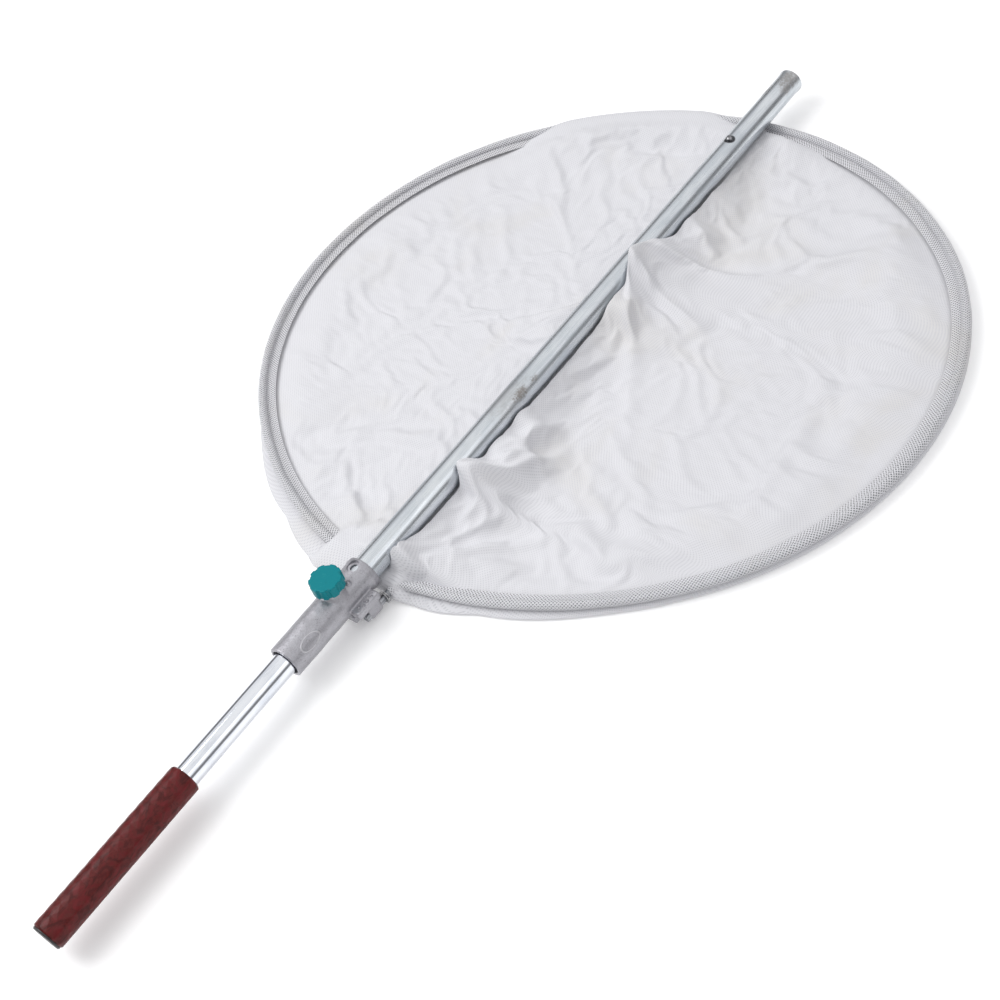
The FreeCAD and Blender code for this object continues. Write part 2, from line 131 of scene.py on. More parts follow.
def add_modifier(piece: bpy.types.Object, kind: str, **values: object) -> None:
    """Add one modifier, set it up and apply it.

    Args:
        piece: the object to change.
        kind: Blender's name for the modifier type.
        values: the modifier's settings.
    """
    pick(piece)
    modifier = piece.modifiers.new(kind.title(), kind)
    for name, value in values.items():
        setattr(modifier, name, value)
    bpy.ops.object.modifier_apply(modifier=modifier.name)


def carve(piece: bpy.types.Object, cutter: bpy.types.Object) -> None:
    """Cut one object out of another and remove the cutter.

    Args:
        piece: the object that keeps its name.
        cutter: the shape to take away.
    """
    add_modifier(piece, "BOOLEAN", object=cutter, operation="DIFFERENCE", solver="MANIFOLD")
    bpy.data.objects.remove(cutter, do_unlink=True)


def add_solid(name: str, operator: Callable, **settings: object) -> bpy.types.Object:
    """Add one of Blender's basic shapes and settle it.

    Args:
        name: the object's name.
        operator: the operator that adds the shape.
        settings: the operator's settings.

    Returns:
        The new object, settled.
    """
    deselect()
    operator(**settings)
    piece = bpy.context.object
    piece.name = name
    return settle(piece)


def cylinder(name: str, centre: Vector, radius: float, length: float, axis: str = "Z",
             sides: int = 48) -> bpy.types.Object:
    """Add a cylinder in row coordinates.

    Args:
        name: the object's name.
        centre: the middle of its axis.
        radius: its radius in metres.
        length: its length in metres.
        axis: the row axis that it runs along, X or Z.
        sides: how many flat sides approximate the round.

    Returns:
        The new object, settled.
    """
    return add_solid(name, bpy.ops.mesh.primitive_cylinder_add, vertices=sides,
                     radius=radius, depth=length, location=centre, rotation=AXIS_TURNS[axis])


def block(name: str, centre: Vector, size: Sequence[float],
          turn: Sequence[float] = (0, 0, 0)) -> bpy.types.Object:
    """Add a box in row coordinates.

    Args:
        name: the object's name.
        centre: its middle.
        size: its three edge lengths in metres.
        turn: its rotation in radians.

    Returns:
        The new object, settled.
    """
    deselect()
    bpy.ops.mesh.primitive_cube_add(size=1.0, location=centre, rotation=turn)
    piece = bpy.context.object
    piece.name = name
    piece.scale = size
    return settle(piece)


def join(pieces: Sequence[bpy.types.Object], name: str) -> bpy.types.Object:
    """Join several objects into the first one.

    Args:
        pieces: the objects to join.
        name: the joined object's name.

    Returns:
        The joined object.
    """
    deselect()
    for piece in pieces:
        piece.select_set(True)
    bpy.context.view_layer.objects.active = pieces[0]
    bpy.ops.object.join()
    pieces[0].name = name
    return pieces[0]


def read_places(piece: bpy.types.Object) -> np.ndarray:
    """Return a mesh's corners, one row each.

    Args:
        piece: the object to read.

    Returns:
        The places in metres.
    """
    places = np.empty(len(piece.data.vertices) * 3)
    piece.data.vertices.foreach_get("co", places)
    return places.reshape(-1, 3)


def write_places(piece: bpy.types.Object, places: np.ndarray) -> None:
    """Move a mesh's corners.

    Args:
        piece: the object to change.
        places: one row for each corner, in metres.
    """
    piece.data.vertices.foreach_set("co", places.ravel())
    piece.data.update()


def ease(share: np.ndarray) -> np.ndarray:
    """Return a share from 0 to 1 with soft ends."""
    return share * share * (3 - 2 * share)


def walk_along(line: np.ndarray) -> np.ndarray:
    """Return the running length at each point of a flat line."""
    return np.concatenate([[0], np.cumsum(np.hypot(*np.diff(line, axis=0).T))])


def edit_faces(piece: bpy.types.Object, wanted: Callable[[Vector, Vector], bool]) -> None:
    """Enter edit mode with the wanted faces selected.

    Args:
        piece: the object to edit.
        wanted: a test of a face's centre and normal.
    """
    pick(piece)
    bpy.ops.object.mode_set(mode="EDIT")
    bpy.ops.mesh.select_mode(type="FACE")
    bpy.ops.mesh.select_all(action="DESELECT")
    bpy.ops.object.mode_set(mode="OBJECT")
    for face in piece.data.polygons:
        face.select = wanted(face.center, face.normal)
    bpy.ops.object.mode_set(mode="EDIT")


def leave_edit() -> None:
    """Go back to object mode."""
    bpy.ops.object.mode_set(mode="OBJECT")


def soften(piece: bpy.types.Object, degrees: float = 35.0) -> None:
    """Shade a piece smooth except over edges sharper than an angle.

    Args:
        piece: the object to shade.
        degrees: the sharpest angle that still looks round.
    """
    pick(piece)
    bpy.ops.object.shade_smooth_by_angle(angle=math.radians(degrees))


def finish_piece(piece: bpy.types.Object, body: str,
                 material: bpy.types.Material, replaced: Iterable[str] = ()) -> None:
    """Dress a piece and tie it to the frame.

    Args:
        piece: the finished object.
        body: the body that it moves with.
        material: its material.
        replaced: the frame nodes that it stands for.
    """
    piece.data.materials.clear()
    piece.data.materials.append(material)
    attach(piece, body)
    nodes = list(replaced)
    if nodes:
        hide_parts(*nodes)
    log.info("%s rides on %s with %d faces", piece.name, body, len(piece.data.polygons))


# --------------------------------------------------------------------- material helpers

# The mix node has sockets of several types under the same names, so colours go by number.
MIX_COLOUR_A, MIX_COLOUR_B, MIX_COLOUR_OUT = 6, 7, 2


class Palette:
    """Draws one node material: a Principled surface and what feeds it."""

    def __init__(self, name: str, metallic: float = 0.0, roughness: float = 0.5,
                 **constants: object) -> None:
        """Start a material.

        Args:
            name: the material's name.
            metallic: how metallic the whole surface is.
            roughness: its base roughness.
            constants: other shader sockets, with underscores for spaces.
        """
        self.material = bpy.data.materials.new(name)
        self.material.use_nodes = True
        self.tree = self.material.node_tree
        self.shader = self.tree.nodes["Principled BSDF"]
        self.preset(self.shader, Metallic=metallic, Roughness=roughness, **constants)

    def preset(self, node: bpy.types.Node, **values: object) -> None:
        """Set a node's inputs, named with underscores for spaces."""
        for key, value in values.items():
            node.inputs[key.replace("_", " ")].default_value = value

    def node(self, kind: str, **settings: object) -> bpy.types.Node:
        """Add a node and set its properties."""
        made = self.tree.nodes.new(kind)
        for key, value in settings.items():
            setattr(made, key, value)
        return made

    def wire(self, source: bpy.types.NodeSocket, target: bpy.types.NodeSocket) -> None:
        """Link an output to an input."""
        self.tree.links.new(source, target)

    def feed(self, source: object, target: bpy.types.NodeSocket) -> None:
        """Link an output, or set a plain value."""
        if isinstance(source, bpy.types.NodeSocket):
            self.wire(source, target)
        else:
            target.default_value = source

    def place(self, scale: Sequence[float] = (1, 1, 1), centre: Sequence[float] = (0, 0, 0),
              uv: bool = False) -> bpy.types.NodeSocket:
        """Return scaled coordinates of the object or of its own UV map.

        Args:
            scale: the factor along each axis.
            centre: the point that becomes the pattern's origin.
            uv: whether to read the UV map instead of the object.

        Returns:
            The vector output.
        """
        source = self.node("ShaderNodeTexCoord").outputs["UV" if uv else "Object"]
        mapping = self.node("ShaderNodeMapping")
        mapping.inputs["Scale"].default_value = scale
        shift = [-value * factor for value, factor in zip(centre, scale)]
        mapping.inputs["Location"].default_value = shift
        self.wire(source, mapping.inputs["Vector"])
        return mapping.outputs["Vector"]

    def grain(self, vector: bpy.types.NodeSocket, scale: float, detail: float = 3.0,
              rough: float = 0.55, twist: float = 0.0) -> bpy.types.NodeSocket:
        """Return a noise value.

        Args:
            vector: the coordinates.
            scale: cells per unit.
            detail: octaves.
            rough: how strong the fine octaves are.
            twist: how much the pattern folds over itself.

        Returns:
            The noise factor output.
        """
        made = self.node("ShaderNodeTexNoise")
        self.wire(vector, made.inputs["Vector"])
        self.preset(made, Scale=scale, Detail=detail, Roughness=rough, Distortion=twist)
        return made.outputs["Fac"]

    def cells(self, vector: bpy.types.NodeSocket, scale: float) -> bpy.types.NodeSocket:
        """Return a cell pattern's distance."""
        made = self.node("ShaderNodeTexVoronoi")
        self.wire(vector, made.inputs["Vector"])
        made.inputs["Scale"].default_value = scale
        return made.outputs["Distance"]

    def math(self, operation: str, first: object, second: object = 0.0,
             clamp: bool = False) -> bpy.types.NodeSocket:
        """Combine two values."""
        made = self.node("ShaderNodeMath", operation=operation, use_clamp=clamp)
        self.feed(first, made.inputs[0])
        self.feed(second, made.inputs[1])
        return made.outputs[0]

    def span(self, value: bpy.types.NodeSocket, low: float, high: float,
             out_low: float = 0.0, out_high: float = 1.0) -> bpy.types.NodeSocket:
        """Stretch a value's range, smoothly limited at both ends."""
        made = self.node("ShaderNodeMapRange", interpolation_type="SMOOTHSTEP")
        self.wire(value, made.inputs["Value"])
        self.preset(made, From_Min=low, From_Max=high, To_Min=out_low, To_Max=out_high)
        return made.outputs["Result"]

    def blend(self, factor: object, first: object, second: object) -> bpy.types.NodeSocket:
        """Mix two colours."""
        made = self.node("ShaderNodeMix", data_type="RGBA")
        self.feed(factor, made.inputs["Factor"])
        self.feed(first, made.inputs[MIX_COLOUR_A])
        self.feed(second, made.inputs[MIX_COLOUR_B])
        return made.outputs[MIX_COLOUR_OUT]

    def distance(self, centre: Vector,
                 scale: Sequence[float] = (1, 1, 1)) -> bpy.types.NodeSocket:
        """Return the distance from a place, in metres, stretched along each axis."""
        length = self.node("ShaderNodeVectorMath", operation="LENGTH")
        self.wire(self.place(scale, centre), length.inputs[0])
        return length.outputs["Value"]

    def colour(self, source: object) -> None:
        """Feed the base colour."""
        self.feed(source, self.shader.inputs["Base Color"])

    def roughness(self, source: object) -> None:
        """Feed the roughness."""
        self.feed(source, self.shader.inputs["Roughness"])

    def relief(self, height: bpy.types.NodeSocket, depth: float, strength: float = 1.0) -> None:
        """Add a bump, over any bump that is there already.

        Args:
            height: the relief from 0 to 1.
            depth: its real height in metres.
            strength: how strongly it shows.
        """
        bump = self.node("ShaderNodeBump")
        self.preset(bump, Strength=strength, Distance=depth)
        self.wire(height, bump.inputs["Height"])
        normal = self.shader.inputs["Normal"]
        if normal.is_linked:
            self.wire(normal.links[0].from_socket, bump.inputs["Normal"])
        self.wire(bump.outputs["Normal"], normal)


def shade(red: float, green: float, blue: float) -> Colour:
    """Return an opaque colour."""
    return (red, green, blue, 1.0)


# ----------------------------------------------------------------------------- finishes


@dataclass(frozen=True)
class WornSpot:
    """A patch of rust or dirt on the pole, in millimetres from the butt."""

    along: float
    left: float
    reach: float
    strength: float


@dataclass(frozen=True)
class ZincTube:
    """Dull zinc plate with drawing lines, specks, a few worn spots and painted shade round the
    button.
    """

    pale: Colour = shade(0.71, 0.74, 0.765)
    deep: Colour = shade(0.55, 0.59, 0.625)
    rust: Colour = shade(0.17, 0.125, 0.09)
    # Near-black painted shade for the ring round the snap button, where its hole lies in shade.
    button_shade: Colour = shade(0.045, 0.046, 0.050)
    button: float = 1162.0
    tube_radius: float = 15.0
    button_shade_start: float = 6.2 * MM
    button_shade_end: float = 7.6 * MM
    spot_height: float = 13.0
    spot_shape: tuple[float, float, float] = (0.6, 1, 1)
    spots: tuple[WornSpot, ...] = (
        WornSpot(704, 2, 54, 0.22),
        WornSpot(716, -13, 22, 0.65),
        WornSpot(742, -13, 14, 0.55),
        WornSpot(1290, -6, 30, 0.5),
        WornSpot(1276, -13, 20, 0.5),
        WornSpot(1262, 9, 18, 0.35),
    )

    def make(self) -> bpy.types.Material:
        """Build the material."""
        pen = Palette("zinc_tube_finish", metallic=1.0, roughness=0.26)
        lines = pen.grain(pen.place((6, 260, 260)), 3.0, 4, 0.6)
        cloud = pen.grain(pen.place((9, 30, 30)), 2.2, 3, 0.6, 0.6)
        tone = pen.math("ADD", pen.math("MULTIPLY", lines, 0.45),
                        pen.math("MULTIPLY", cloud, 0.55))
        colour = pen.blend(pen.span(tone, 0.34, 0.66), self.deep, self.pale)
        fleck = pen.span(pen.cells(pen.place(), 420), 0.0, 0.10, 1.0, 0.0)
        sparse = pen.span(pen.grain(pen.place(), 38, 2), 0.56, 0.70)
        worn = pen.math("MULTIPLY", pen.math("MULTIPLY", fleck, sparse), 0.6)
        ragged = pen.grain(pen.place(), 330, 6, 0.75, 0.4)
        for spot in self.spots:
            away = pen.distance(stations.at(spot.along, spot.left, self.spot_height),
                                self.spot_shape)
            near = pen.span(away, 0.0, spot.reach * MM, 1.0, 0.0)
            patch = pen.span(pen.math("MULTIPLY", near, ragged), 0.27, 0.50)
            patch = pen.math("MULTIPLY", patch, spot.strength)
            worn = pen.math("MAXIMUM", worn, patch)
        # Painted shade: a near-black ring on the tube round the snap button, standing for the
        # shade in and under its hole.
        away = pen.distance(stations.at(self.button, 0, self.tube_radius))
        button_shade = pen.span(away, self.button_shade_start, self.button_shade_end, 0.95, 0.0)
        pen.colour(pen.blend(button_shade, pen.blend(worn, colour, self.rust), self.button_shade))
        rough = pen.span(tone, 0.3, 0.7, 0.34, 0.20)
        pen.roughness(pen.math("ADD", rough, pen.math("MULTIPLY", worn, 0.4), clamp=True))
        pen.relief(lines, 0.03 * MM, 0.35)
        pen.relief(pen.math("SUBTRACT", 1.0, worn), 0.12 * MM, 0.5)
        return pen.material


@dataclass(frozen=True)
class ChromeTube:
    """Bright chrome plate with faint hairlines."""

    bright: Colour = shade(0.80, 0.82, 0.86)
    hazy: Colour = shade(0.66, 0.69, 0.75)

    def make(self) -> bpy.types.Material:
        """Build the material."""
        pen = Palette("chrome_tube_finish", metallic=1.0, roughness=0.07)
        lines = pen.grain(pen.place((4, 420, 420)), 2.0, 3, 0.6)
        haze = pen.grain(pen.place((14, 60, 60)), 2.0, 4, 0.6, 0.4)
        pen.colour(pen.blend(pen.span(haze, 0.42, 0.72), self.bright, self.hazy))
        pen.roughness(pen.span(haze, 0.35, 0.75, 0.05, 0.16))
        pen.relief(lines, 0.01 * MM, 0.25)
        return pen.material


@dataclass(frozen=True)
class CastAluminium:
    """Sand-cast aluminium: matt, grainy, brighter where it is rubbed."""

    pale: Colour = shade(0.50, 0.50, 0.53)
    deep: Colour = shade(0.33, 0.32, 0.345)
    mark: tuple[float, float, float] = (358.0, -15.5, 10.9)
    mark_shape: tuple[float, float, float] = (1, 1.9, 1.9)
    mark_radius: float = 12.5 * MM

    def make(self) -> bpy.types.Material:
        """Build the material."""
        pen = Palette("cast_aluminium_finish", metallic=0.85, roughness=0.45)
        sand = pen.grain(pen.place(), 900, 4, 0.7)
        cloud = pen.grain(pen.place(), 70, 4, 0.6, 0.5)
        pits = pen.span(pen.cells(pen.place(), 520), 0.08, 0.26, 1.0, 0.0)
        rare = pen.span(pen.grain(pen.place(), 150, 2), 0.5, 0.62)
        pits = pen.math("MULTIPLY", pits, rare)
        tone = pen.span(pen.math("ADD", pen.math("MULTIPLY", cloud, 0.25),
                                 pen.math("MULTIPLY", sand, 0.75)), 0.32, 0.68)
        colour = pen.blend(tone, self.deep, self.pale)
        away = pen.distance(stations.at(*self.mark), self.mark_shape)
        off = pen.math("ABSOLUTE", pen.math("SUBTRACT", away, self.mark_radius))
        oval = pen.span(off, 0.7 * MM, 1.5 * MM, 1.0, 0.0)
        colour = pen.blend(pen.math("MULTIPLY", oval, 0.55), colour, shade(0.66, 0.66, 0.68))
        pen.relief(oval, 0.5 * MM, 0.9)
        pen.colour(pen.blend(pen.math("MULTIPLY", pits, 0.75), colour, shade(0.09, 0.085, 0.085)))
        pen.roughness(pen.span(sand, 0.3, 0.7, 0.36, 0.58))
        pen.relief(sand, 0.16 * MM, 0.5)
        pen.relief(pen.math("SUBTRACT", 1.0, pits), 0.35 * MM, 0.8)
        return pen.material


@dataclass(frozen=True)
class GripPlastic:
    """Oxblood plastic, marbled with brown, with a soft shine."""

    red: Colour = shade(0.135, 0.013, 0.015)
    brown: Colour = shade(0.060, 0.009, 0.008)
    vein: Colour = shade(0.17, 0.050, 0.030)

    def make(self) -> bpy.types.Material:
        """Build the material."""
        pen = Palette("grip_plastic_finish", roughness=0.38, Specular_IOR_Level=0.18)
        marble = pen.grain(pen.place((1, 1.6, 1.6)), 60, 5, 0.6, 1.6)
        patch = pen.grain(pen.place(), 22, 3, 0.5, 0.8)
        colour = pen.blend(pen.span(marble, 0.30, 0.70), self.brown, self.red)
        vein = pen.span(pen.math("ABSOLUTE", pen.math("SUBTRACT", marble, 0.5)), 0.0, 0.035,
                        1.0, 0.0)
        vein = pen.math("MULTIPLY", pen.math("MULTIPLY", vein, patch), 0.3)
        pen.colour(pen.blend(vein, colour, self.vein))
        pen.roughness(pen.span(patch, 0.3, 0.7, 0.28, 0.46))
        pen.relief(pen.grain(pen.place(), 700, 3, 0.6), 0.05 * MM, 0.4)
        return pen.material


@dataclass(frozen=True)
class KnobPlastic:
    """Teal moulded plastic, rubbed on its high edges."""

    teal: Colour = shade(0.001, 0.200, 0.232)
    rubbed: Colour = shade(0.012, 0.235, 0.250)
    dirt: Colour = shade(0.006, 0.120, 0.132)

    def make(self) -> bpy.types.Material:
        """Build the material."""
        pen = Palette("knob_plastic_finish", roughness=0.36, Specular_IOR_Level=0.16)
        scuff = pen.grain(pen.place(), 260, 4, 0.65, 0.3)
        cloud = pen.grain(pen.place(), 90, 3, 0.5)
        colour = pen.blend(pen.span(scuff, 0.60, 0.74), self.teal, self.rubbed)
        pen.colour(pen.blend(pen.span(cloud, 0.40, 0.28, 0.0, 0.4), colour, self.dirt))
        pen.roughness(pen.span(scuff, 0.3, 0.7, 0.30, 0.48))
        pen.relief(pen.grain(pen.place(), 1400, 2, 0.5), 0.03 * MM, 0.35)
        return pen.material


@dataclass(frozen=True)
class NetCloth:
    """Fine square mesh of white thread, for the net, its hem and its seam.

    The piece's UV map runs in metres over the flat cloth, so the mesh follows every fold.
    """

    name: str = "net_fabric_finish"
    pitch: float = 2.4 * MM
    thread: float = 0.50
    open_alpha: float = 0.91
    white: Colour = shade(0.70, 0.70, 0.725)
    # Colour of the open squares: painted shade seen through the mesh; the yarn noise also darkens
    # threads towards it at random.
    hole_shade_and_yarn_tone: Colour = shade(0.63, 0.63, 0.66)
    warm: Colour = shade(0.66, 0.645, 0.62)

    def make(self) -> bpy.types.Material:
        """Build the material."""
        pen = Palette(self.name, roughness=0.85, Sheen_Weight=0.12)
        split = pen.node("ShaderNodeSeparateXYZ")
        pen.wire(pen.place(uv=True), split.inputs[0])
        half = self.pitch / 2
        gaps = []
        for axis in ("X", "Y"):
            wave = pen.math("PINGPONG", split.outputs[axis], half)
            gaps.append(pen.span(wave, half * self.thread * 0.8, half * self.thread * 1.3))
        hole = pen.math("MULTIPLY", gaps[0], gaps[1])
        cloud = pen.grain(pen.place(), 7, 4, 0.6, 0.4)
        yarn = pen.grain(pen.place(uv=True), 1500, 2, 0.6)
        white = pen.blend(pen.span(cloud, 0.50, 0.72, 0.0, 0.6), self.white, self.warm)
        white = pen.blend(pen.span(yarn, 0.45, 0.75, 0.0, 0.25), white, self.hole_shade_and_yarn_tone)
        # The open squares take the darker colour, nearly opaque: painted shade seen through the
        # mesh.
        colour = pen.blend(hole, white, self.hole_shade_and_yarn_tone)
        alpha = pen.span(hole, 0.0, 1.0, 1.0, self.open_alpha)
        pen.colour(colour)
        pen.feed(alpha, pen.shader.inputs["Alpha"])
        pen.relief(pen.math("SUBTRACT", 1.0, hole), 0.25 * MM, 0.25)
        return pen.material


@dataclass(frozen=True)
class PlainMetal:
    """Turned or plated metal for small fittings."""

    name: str
    tone: Colour
    dull: Colour
    roughness: float = 0.3

    def make(self) -> bpy.types.Material:
        """Build the material."""
        pen = Palette(self.name, metallic=1.0, roughness=self.roughness)
        turned = pen.grain(pen.place((300, 60, 60)), 3.0, 3, 0.6)
        cloud = pen.grain(pen.place(), 120, 3, 0.6, 0.4)
        pen.colour(pen.blend(pen.span(cloud, 0.4, 0.68), self.tone, self.dull))
        pen.roughness(pen.span(cloud, 0.3, 0.7, self.roughness * 0.8, self.roughness * 1.4))
        pen.relief(turned, 0.02 * MM, 0.3)
        return pen.material


@dataclass(frozen=True)
class PlainPlastic:
    """Moulded plastic for plugs, pads and bushes."""

    name: str
    tone: Colour
    worn: Colour
    roughness: float = 0.5

    def make(self) -> bpy.types.Material:
        """Build the material."""
        pen = Palette(self.name, roughness=self.roughness)
        cloud = pen.grain(pen.place(), 150, 4, 0.6, 0.4)
        pen.colour(pen.blend(pen.span(cloud, 0.45, 0.72), self.tone, self.worn))
        pen.roughness(pen.span(cloud, 0.3, 0.7, self.roughness * 0.85, self.roughness * 1.2))
        pen.relief(pen.grain(pen.place(), 1100, 2, 0.5), 0.04 * MM, 0.35)
        return pen.material


@dataclass(frozen=True)
class StudioPaper:
    """Matt white paper under the object."""

    white: Colour = shade(0.93, 0.93, 0.93)
    glow: float = 0.16

    def make(self) -> bpy.types.Material:
        """Build the material."""
        pen = Palette("studio_paper", roughness=0.9, Emission_Strength=self.glow,
                      Emission_Color=shade(1.0, 1.0, 1.0))
        fibre = pen.grain(pen.place(), 3, 3, 0.5)
        pen.colour(pen.blend(pen.span(fibre, 0.3, 0.7, 0.0, 0.15), self.white,
                             shade(0.91, 0.91, 0.915)))
        return pen.material


# --------------------------------------------------------------------------- the pole


@dataclass
class Pole:
    """The frame's own tubes, button and lock pieces, dressed in their finishes."""

    def dress(self) -> None:
        """Give every carried-over node its finish."""
        steel = PlainMetal("fitting_steel_finish", shade(0.58, 0.58, 0.59),
                           shade(0.36, 0.36, 0.37)).make()
        nylon = PlainPlastic("nylon_finish", shade(0.66, 0.65, 0.58),
                             shade(0.58, 0.56, 0.48)).make()
        black = PlainPlastic("black_plastic_finish", shade(0.018, 0.017, 0.018),
                             shade(0.035, 0.032, 0.032), 0.42).make()
        brass = PlainMetal("insert_brass_finish", shade(0.60, 0.42, 0.16),
                           shade(0.38, 0.26, 0.10)).make()
        spring = PlainMetal("spring_steel_finish", shade(0.50, 0.50, 0.52),
                            shade(0.30, 0.30, 0.32), 0.22).make()
        rod = PlainMetal("hoop_aluminium_finish", shade(0.40, 0.41, 0.43),
                         shade(0.22, 0.23, 0.25), 0.38).make()
        finishes = {
            "outer_tube": ZincTube().make(),
            "inner_tube": ChromeTube().make(),
            "hoop_rod": rod,
            "thread_insert": brass,
            "button_spring": spring,
            "mouth_bush": nylon,
            "spindle_plug": nylon,
            "pressure_pad": nylon,
            "butt_plug": black,
            "lock_expander": black,
        }
        for name in ("snap_button", "lock_spindle", "cone_nut", "clamp_screw", "knob_washer",
                     "hoop_lock_pins"):
            finishes[name] = steel
        finishes["snap_button"] = PlainMetal("button_finish", shade(0.30, 0.30, 0.31),
                                             shade(0.12, 0.12, 0.125)).make()
        for name, material in finishes.items():
            mesh = frame["nodes"][name].data
            mesh.materials.clear()
            mesh.materials.append(material)
        log.info("dressed %d frame nodes", len(finishes))


@dataclass
class Grip:
    """Moulded grip whose skin is a net of shallow diamond studs."""

    sides: int = 12
    bands: int = 14
    stud: float = 0.62 * MM
    end_bevel: float = 1.6 * MM
    edge_soften: float = 0.35 * MM

    def build(self) -> None:
        """Model the grip over the frame's plain one."""
        low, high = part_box("grip")
        radius = (high.z - low.z) / 2
        centre = (low + high) / 2
        length = high.x - low.x
        skin = cylinder("grip_skin", centre, radius, length, "X", self.sides)
        edit_faces(skin, lambda middle, normal: abs(normal.x) > 0.9)
        bpy.ops.mesh.inset(thickness=self.end_bevel)
        leave_edit()
        self.pinch_ends(skin, low.x, high.x)
        self.band(skin, low.x + self.end_bevel, high.x - self.end_bevel)
        edit_faces(skin, lambda middle, normal: self.is_side(middle, normal, low.x, high.x))
        bpy.ops.mesh.poke(offset=self.stud)
        leave_edit()
        carve(skin, cylinder("grip_bore", centre, 13.02 * MM, length * 1.2, "X", 64))
        add_modifier(skin, "BEVEL", width=self.edge_soften, segments=2, limit_method="ANGLE",
                     angle_limit=math.radians(4))
        soften(skin, 24)
        finish_piece(skin, "handle", GripPlastic().make(), ["grip"])

    def pinch_ends(self, skin: bpy.types.Object, start: float, end: float) -> None:
        """Push the two outer rings inwards, so that each end gets a chamfer."""
        pick(skin)
        for vertex in skin.data.vertices:
            offset = Vector((0, vertex.co.y, vertex.co.z - stations.axis_height))
            at_end = min(abs(vertex.co.x - start), abs(vertex.co.x - end)) < 0.01 * MM
            if at_end and offset.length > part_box("grip")[1].y - 0.2 * MM:
                direction = 1 if abs(vertex.co.x - start) < 0.01 * MM else -1
                vertex.co.x += direction * self.end_bevel

    def band(self, skin: bpy.types.Object, start: float, end: float) -> None:
        """Cut the grip's sides into equal bands along its length."""
        pick(skin)
        bpy.ops.object.mode_set(mode="EDIT")
        for index in range(1, self.bands):
            along = start + (end - start) * index / self.bands
            bpy.ops.mesh.select_all(action="SELECT")
            bpy.ops.mesh.bisect(plane_co=(along, 0, stations.axis_height),
                                plane_no=(1, 0, 0))
        leave_edit()

    def is_side(self, middle: Vector, normal: Vector, start: float, end: float) -> bool:
        """Tell whether a face is one of the studs on the grip's side."""
        clear = start + self.end_bevel < middle.x < end - self.end_bevel
        return clear and abs(normal.x) < 0.1


# ------------------------------------------------------------------------- the head


@dataclass
class ClampKnob:
    """Knob with soft lobes and a flat, slightly crowned top."""

    lobes: int = 9
    faces_per_lobe: int = 6
    core: float = 16.1 * MM
    lobe_height: float = 1.4 * MM
    voxel: float = 0.45 * MM
    rounding: int = 9

    def build(self) -> None:
        """Model the knob over the frame's plain one."""
        low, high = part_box("knob")
        centre = Vector((stations.clamp_x, 0, (low.z + high.z) / 2))
        sides = self.lobes * self.faces_per_lobe
        knob = cylinder("clamp_knob", centre, self.core, high.z - low.z, "Z", sides)
        edit_faces(knob, lambda middle, normal: self.on_lobe(middle - centre, normal))
        bpy.ops.mesh.extrude_region_move()
        bpy.ops.transform.shrink_fatten(value=self.lobe_height)
        leave_edit()
        add_modifier(knob, "REMESH", mode="VOXEL", voxel_size=self.voxel)
        add_modifier(knob, "SMOOTH", factor=0.5, iterations=self.rounding)
        self.stretch(knob, low.z, high.z)
        carve(knob, cylinder("knob_bore", Vector((centre.x, 0, low.z)), 4.02 * MM,
                             2 * (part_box("clamp_screw")[1].z - low.z), "Z", 40))
        soften(knob, 50)
        finish_piece(knob, "clamp_knob", KnobPlastic().make(), ["knob"])

    def stretch(self, knob: bpy.types.Object, low: float, high: float) -> None:
        """Bring the smoothed knob back to its full height."""
        heights = [vertex.co.z for vertex in knob.data.vertices]
        bottom, top = min(heights), max(heights)
        for vertex in knob.data.vertices:
            vertex.co.z = low + (vertex.co.z - bottom) * (high - low) / (top - bottom)

    def on_lobe(self, offset: Vector, normal: Vector) -> bool:
        """Tell whether a side face belongs to one of the lobes."""
        if abs(normal.z) > 0.1:
            return False
        turn = math.atan2(offset.y, offset.x) / math.tau * self.lobes * self.faces_per_lobe
        return int(math.floor(turn)) % self.faces_per_lobe < 4


